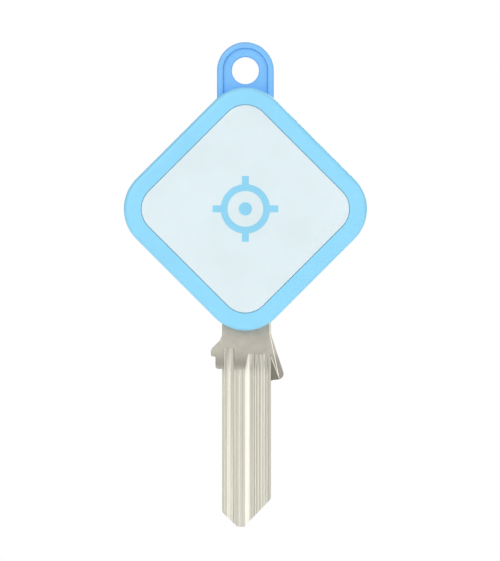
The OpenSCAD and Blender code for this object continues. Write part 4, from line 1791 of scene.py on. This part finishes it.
SKY = MouldedPlastic("bezel_abs", (144, 217, 250), 0.36, 0.04, 0.0012)
DEEP = MouldedPlastic("rear_abs", (127, 195, 251), 0.38, 0.04, 0.0014)
PANEL = MouldedPlastic("panel_abs", (223, 237, 241), 0.3, 0.015, 0.0004)
STEEL = PlainMetal("screw_plate", (188, 191, 194), 0.3, 0.06, 0.002)
BRONZE = PlainMetal("contact_gilt", (222, 188, 104), 0.28, 0.06, 0.001)
CELL = PlainMetal("cell_nickel", (205, 207, 209), 0.24, 0.05, 0.001)
DOME = PlainMetal("dome_spring", (213, 216, 218), 0.22, 0.04, 0.001)

INSIDE: dict[str, Finish] = {
    "button_symbol": MouldedPlastic("symbol_abs", (142, 212, 241), 0.3, 0.03, 0.0008),
    "seam_gasket": MouldedPlastic("gasket_silicone", (74, 85, 96), 0.6, 0.06, 0.002),
    "blade_pins": PlainMetal("pin_steel", (157, 161, 165), 0.3, 0.06, 0.001),
    "circuit_board": MouldedPlastic("solder_mask", (31, 107, 74), 0.32, 0.06, 0.003, 0.3),
    "radio_chip": MouldedPlastic("chip_epoxy", (38, 40, 43), 0.55, 0.06, 0.002, 0.08),
    "antenna_chip": MouldedPlastic("antenna_ceramic", (217, 212, 196), 0.5, 0.05, 0.002, 0.1),
    "timing_crystals": PlainMetal("crystal_lid", (201, 196, 180), 0.3, 0.05, 0.001),
    "chip_capacitors": MouldedPlastic("capacitor_ceramic", (181, 138, 90), 0.5, 0.05, 0.002, 0.1),
    "chip_resistors": MouldedPlastic("resistor_glaze", (46, 48, 51), 0.4, 0.05, 0.002, 0.1),
    "test_pads": BRONZE,
    "switch_base": MouldedPlastic("switch_nylon", (58, 61, 64), 0.55, 0.05, 0.002, 0.1),
    "switch_cover": PlainMetal("switch_strip", (196, 200, 203), 0.3, 0.05, 0.001),
    "switch_plunger": MouldedPlastic("plunger_acetal", (242, 242, 240), 0.45, 0.04, 0.001, 0.1),
    "buzzer_adhesive": MouldedPlastic("tape", (232, 228, 210), 0.7, 0.05, 0.003, 0.2),
    "buzzer_plate": PlainMetal("buzzer_brass", (207, 166, 75), 0.3, 0.06, 0.001),
    "buzzer_ceramic": MouldedPlastic("piezo_ceramic", (233, 230, 222), 0.5, 0.05, 0.002, 0.15),
    "buzzer_springs": BRONZE,
    "positive_contact": BRONZE,
    "negative_contact": BRONZE,
    "cell_can": CELL,
    "cell_cap": CELL,
    "cell_gasket": MouldedPlastic("cell_seal", (221, 221, 213), 0.5, 0.05, 0.001, 0.1),
    "cell_pad": MouldedPlastic("pad_foam", (61, 66, 71), 0.85, 0.08, 0.02, 0.25),
    "door_seal": MouldedPlastic("seal_nitrile", (43, 46, 49), 0.5, 0.06, 0.002, 0.1),
}


def main() -> None:
    """Builds the tag piece by piece, then the studio round it."""
    logging.basicConfig(level=logging.INFO, format="%(name)s: %(message)s")
    plan = HeadPlan()
    key_low, key_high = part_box("key_blade")
    nickel = KeyNickel(
        "key_plate", (196, 190, 178), relief=0.006, shoulder=key_low.z + 27.5 * MM, half_thickness=key_high.y,
        blade_right=4.45 * MM,
    )
    FrontShell(plan, SKY).build()
    FaceButton(plan, PANEL).build()
    RearShell(plan, DEEP).build()
    BatteryDoor(plan, DEEP).build()
    CaseScrews(plan, STEEL).build()
    KeyBlade(plan, nickel).build()
    SnapDome(DOME).build()
    Internals(INSIDE).build()
    Studio().build()


if __name__ == "__main__":
    main()
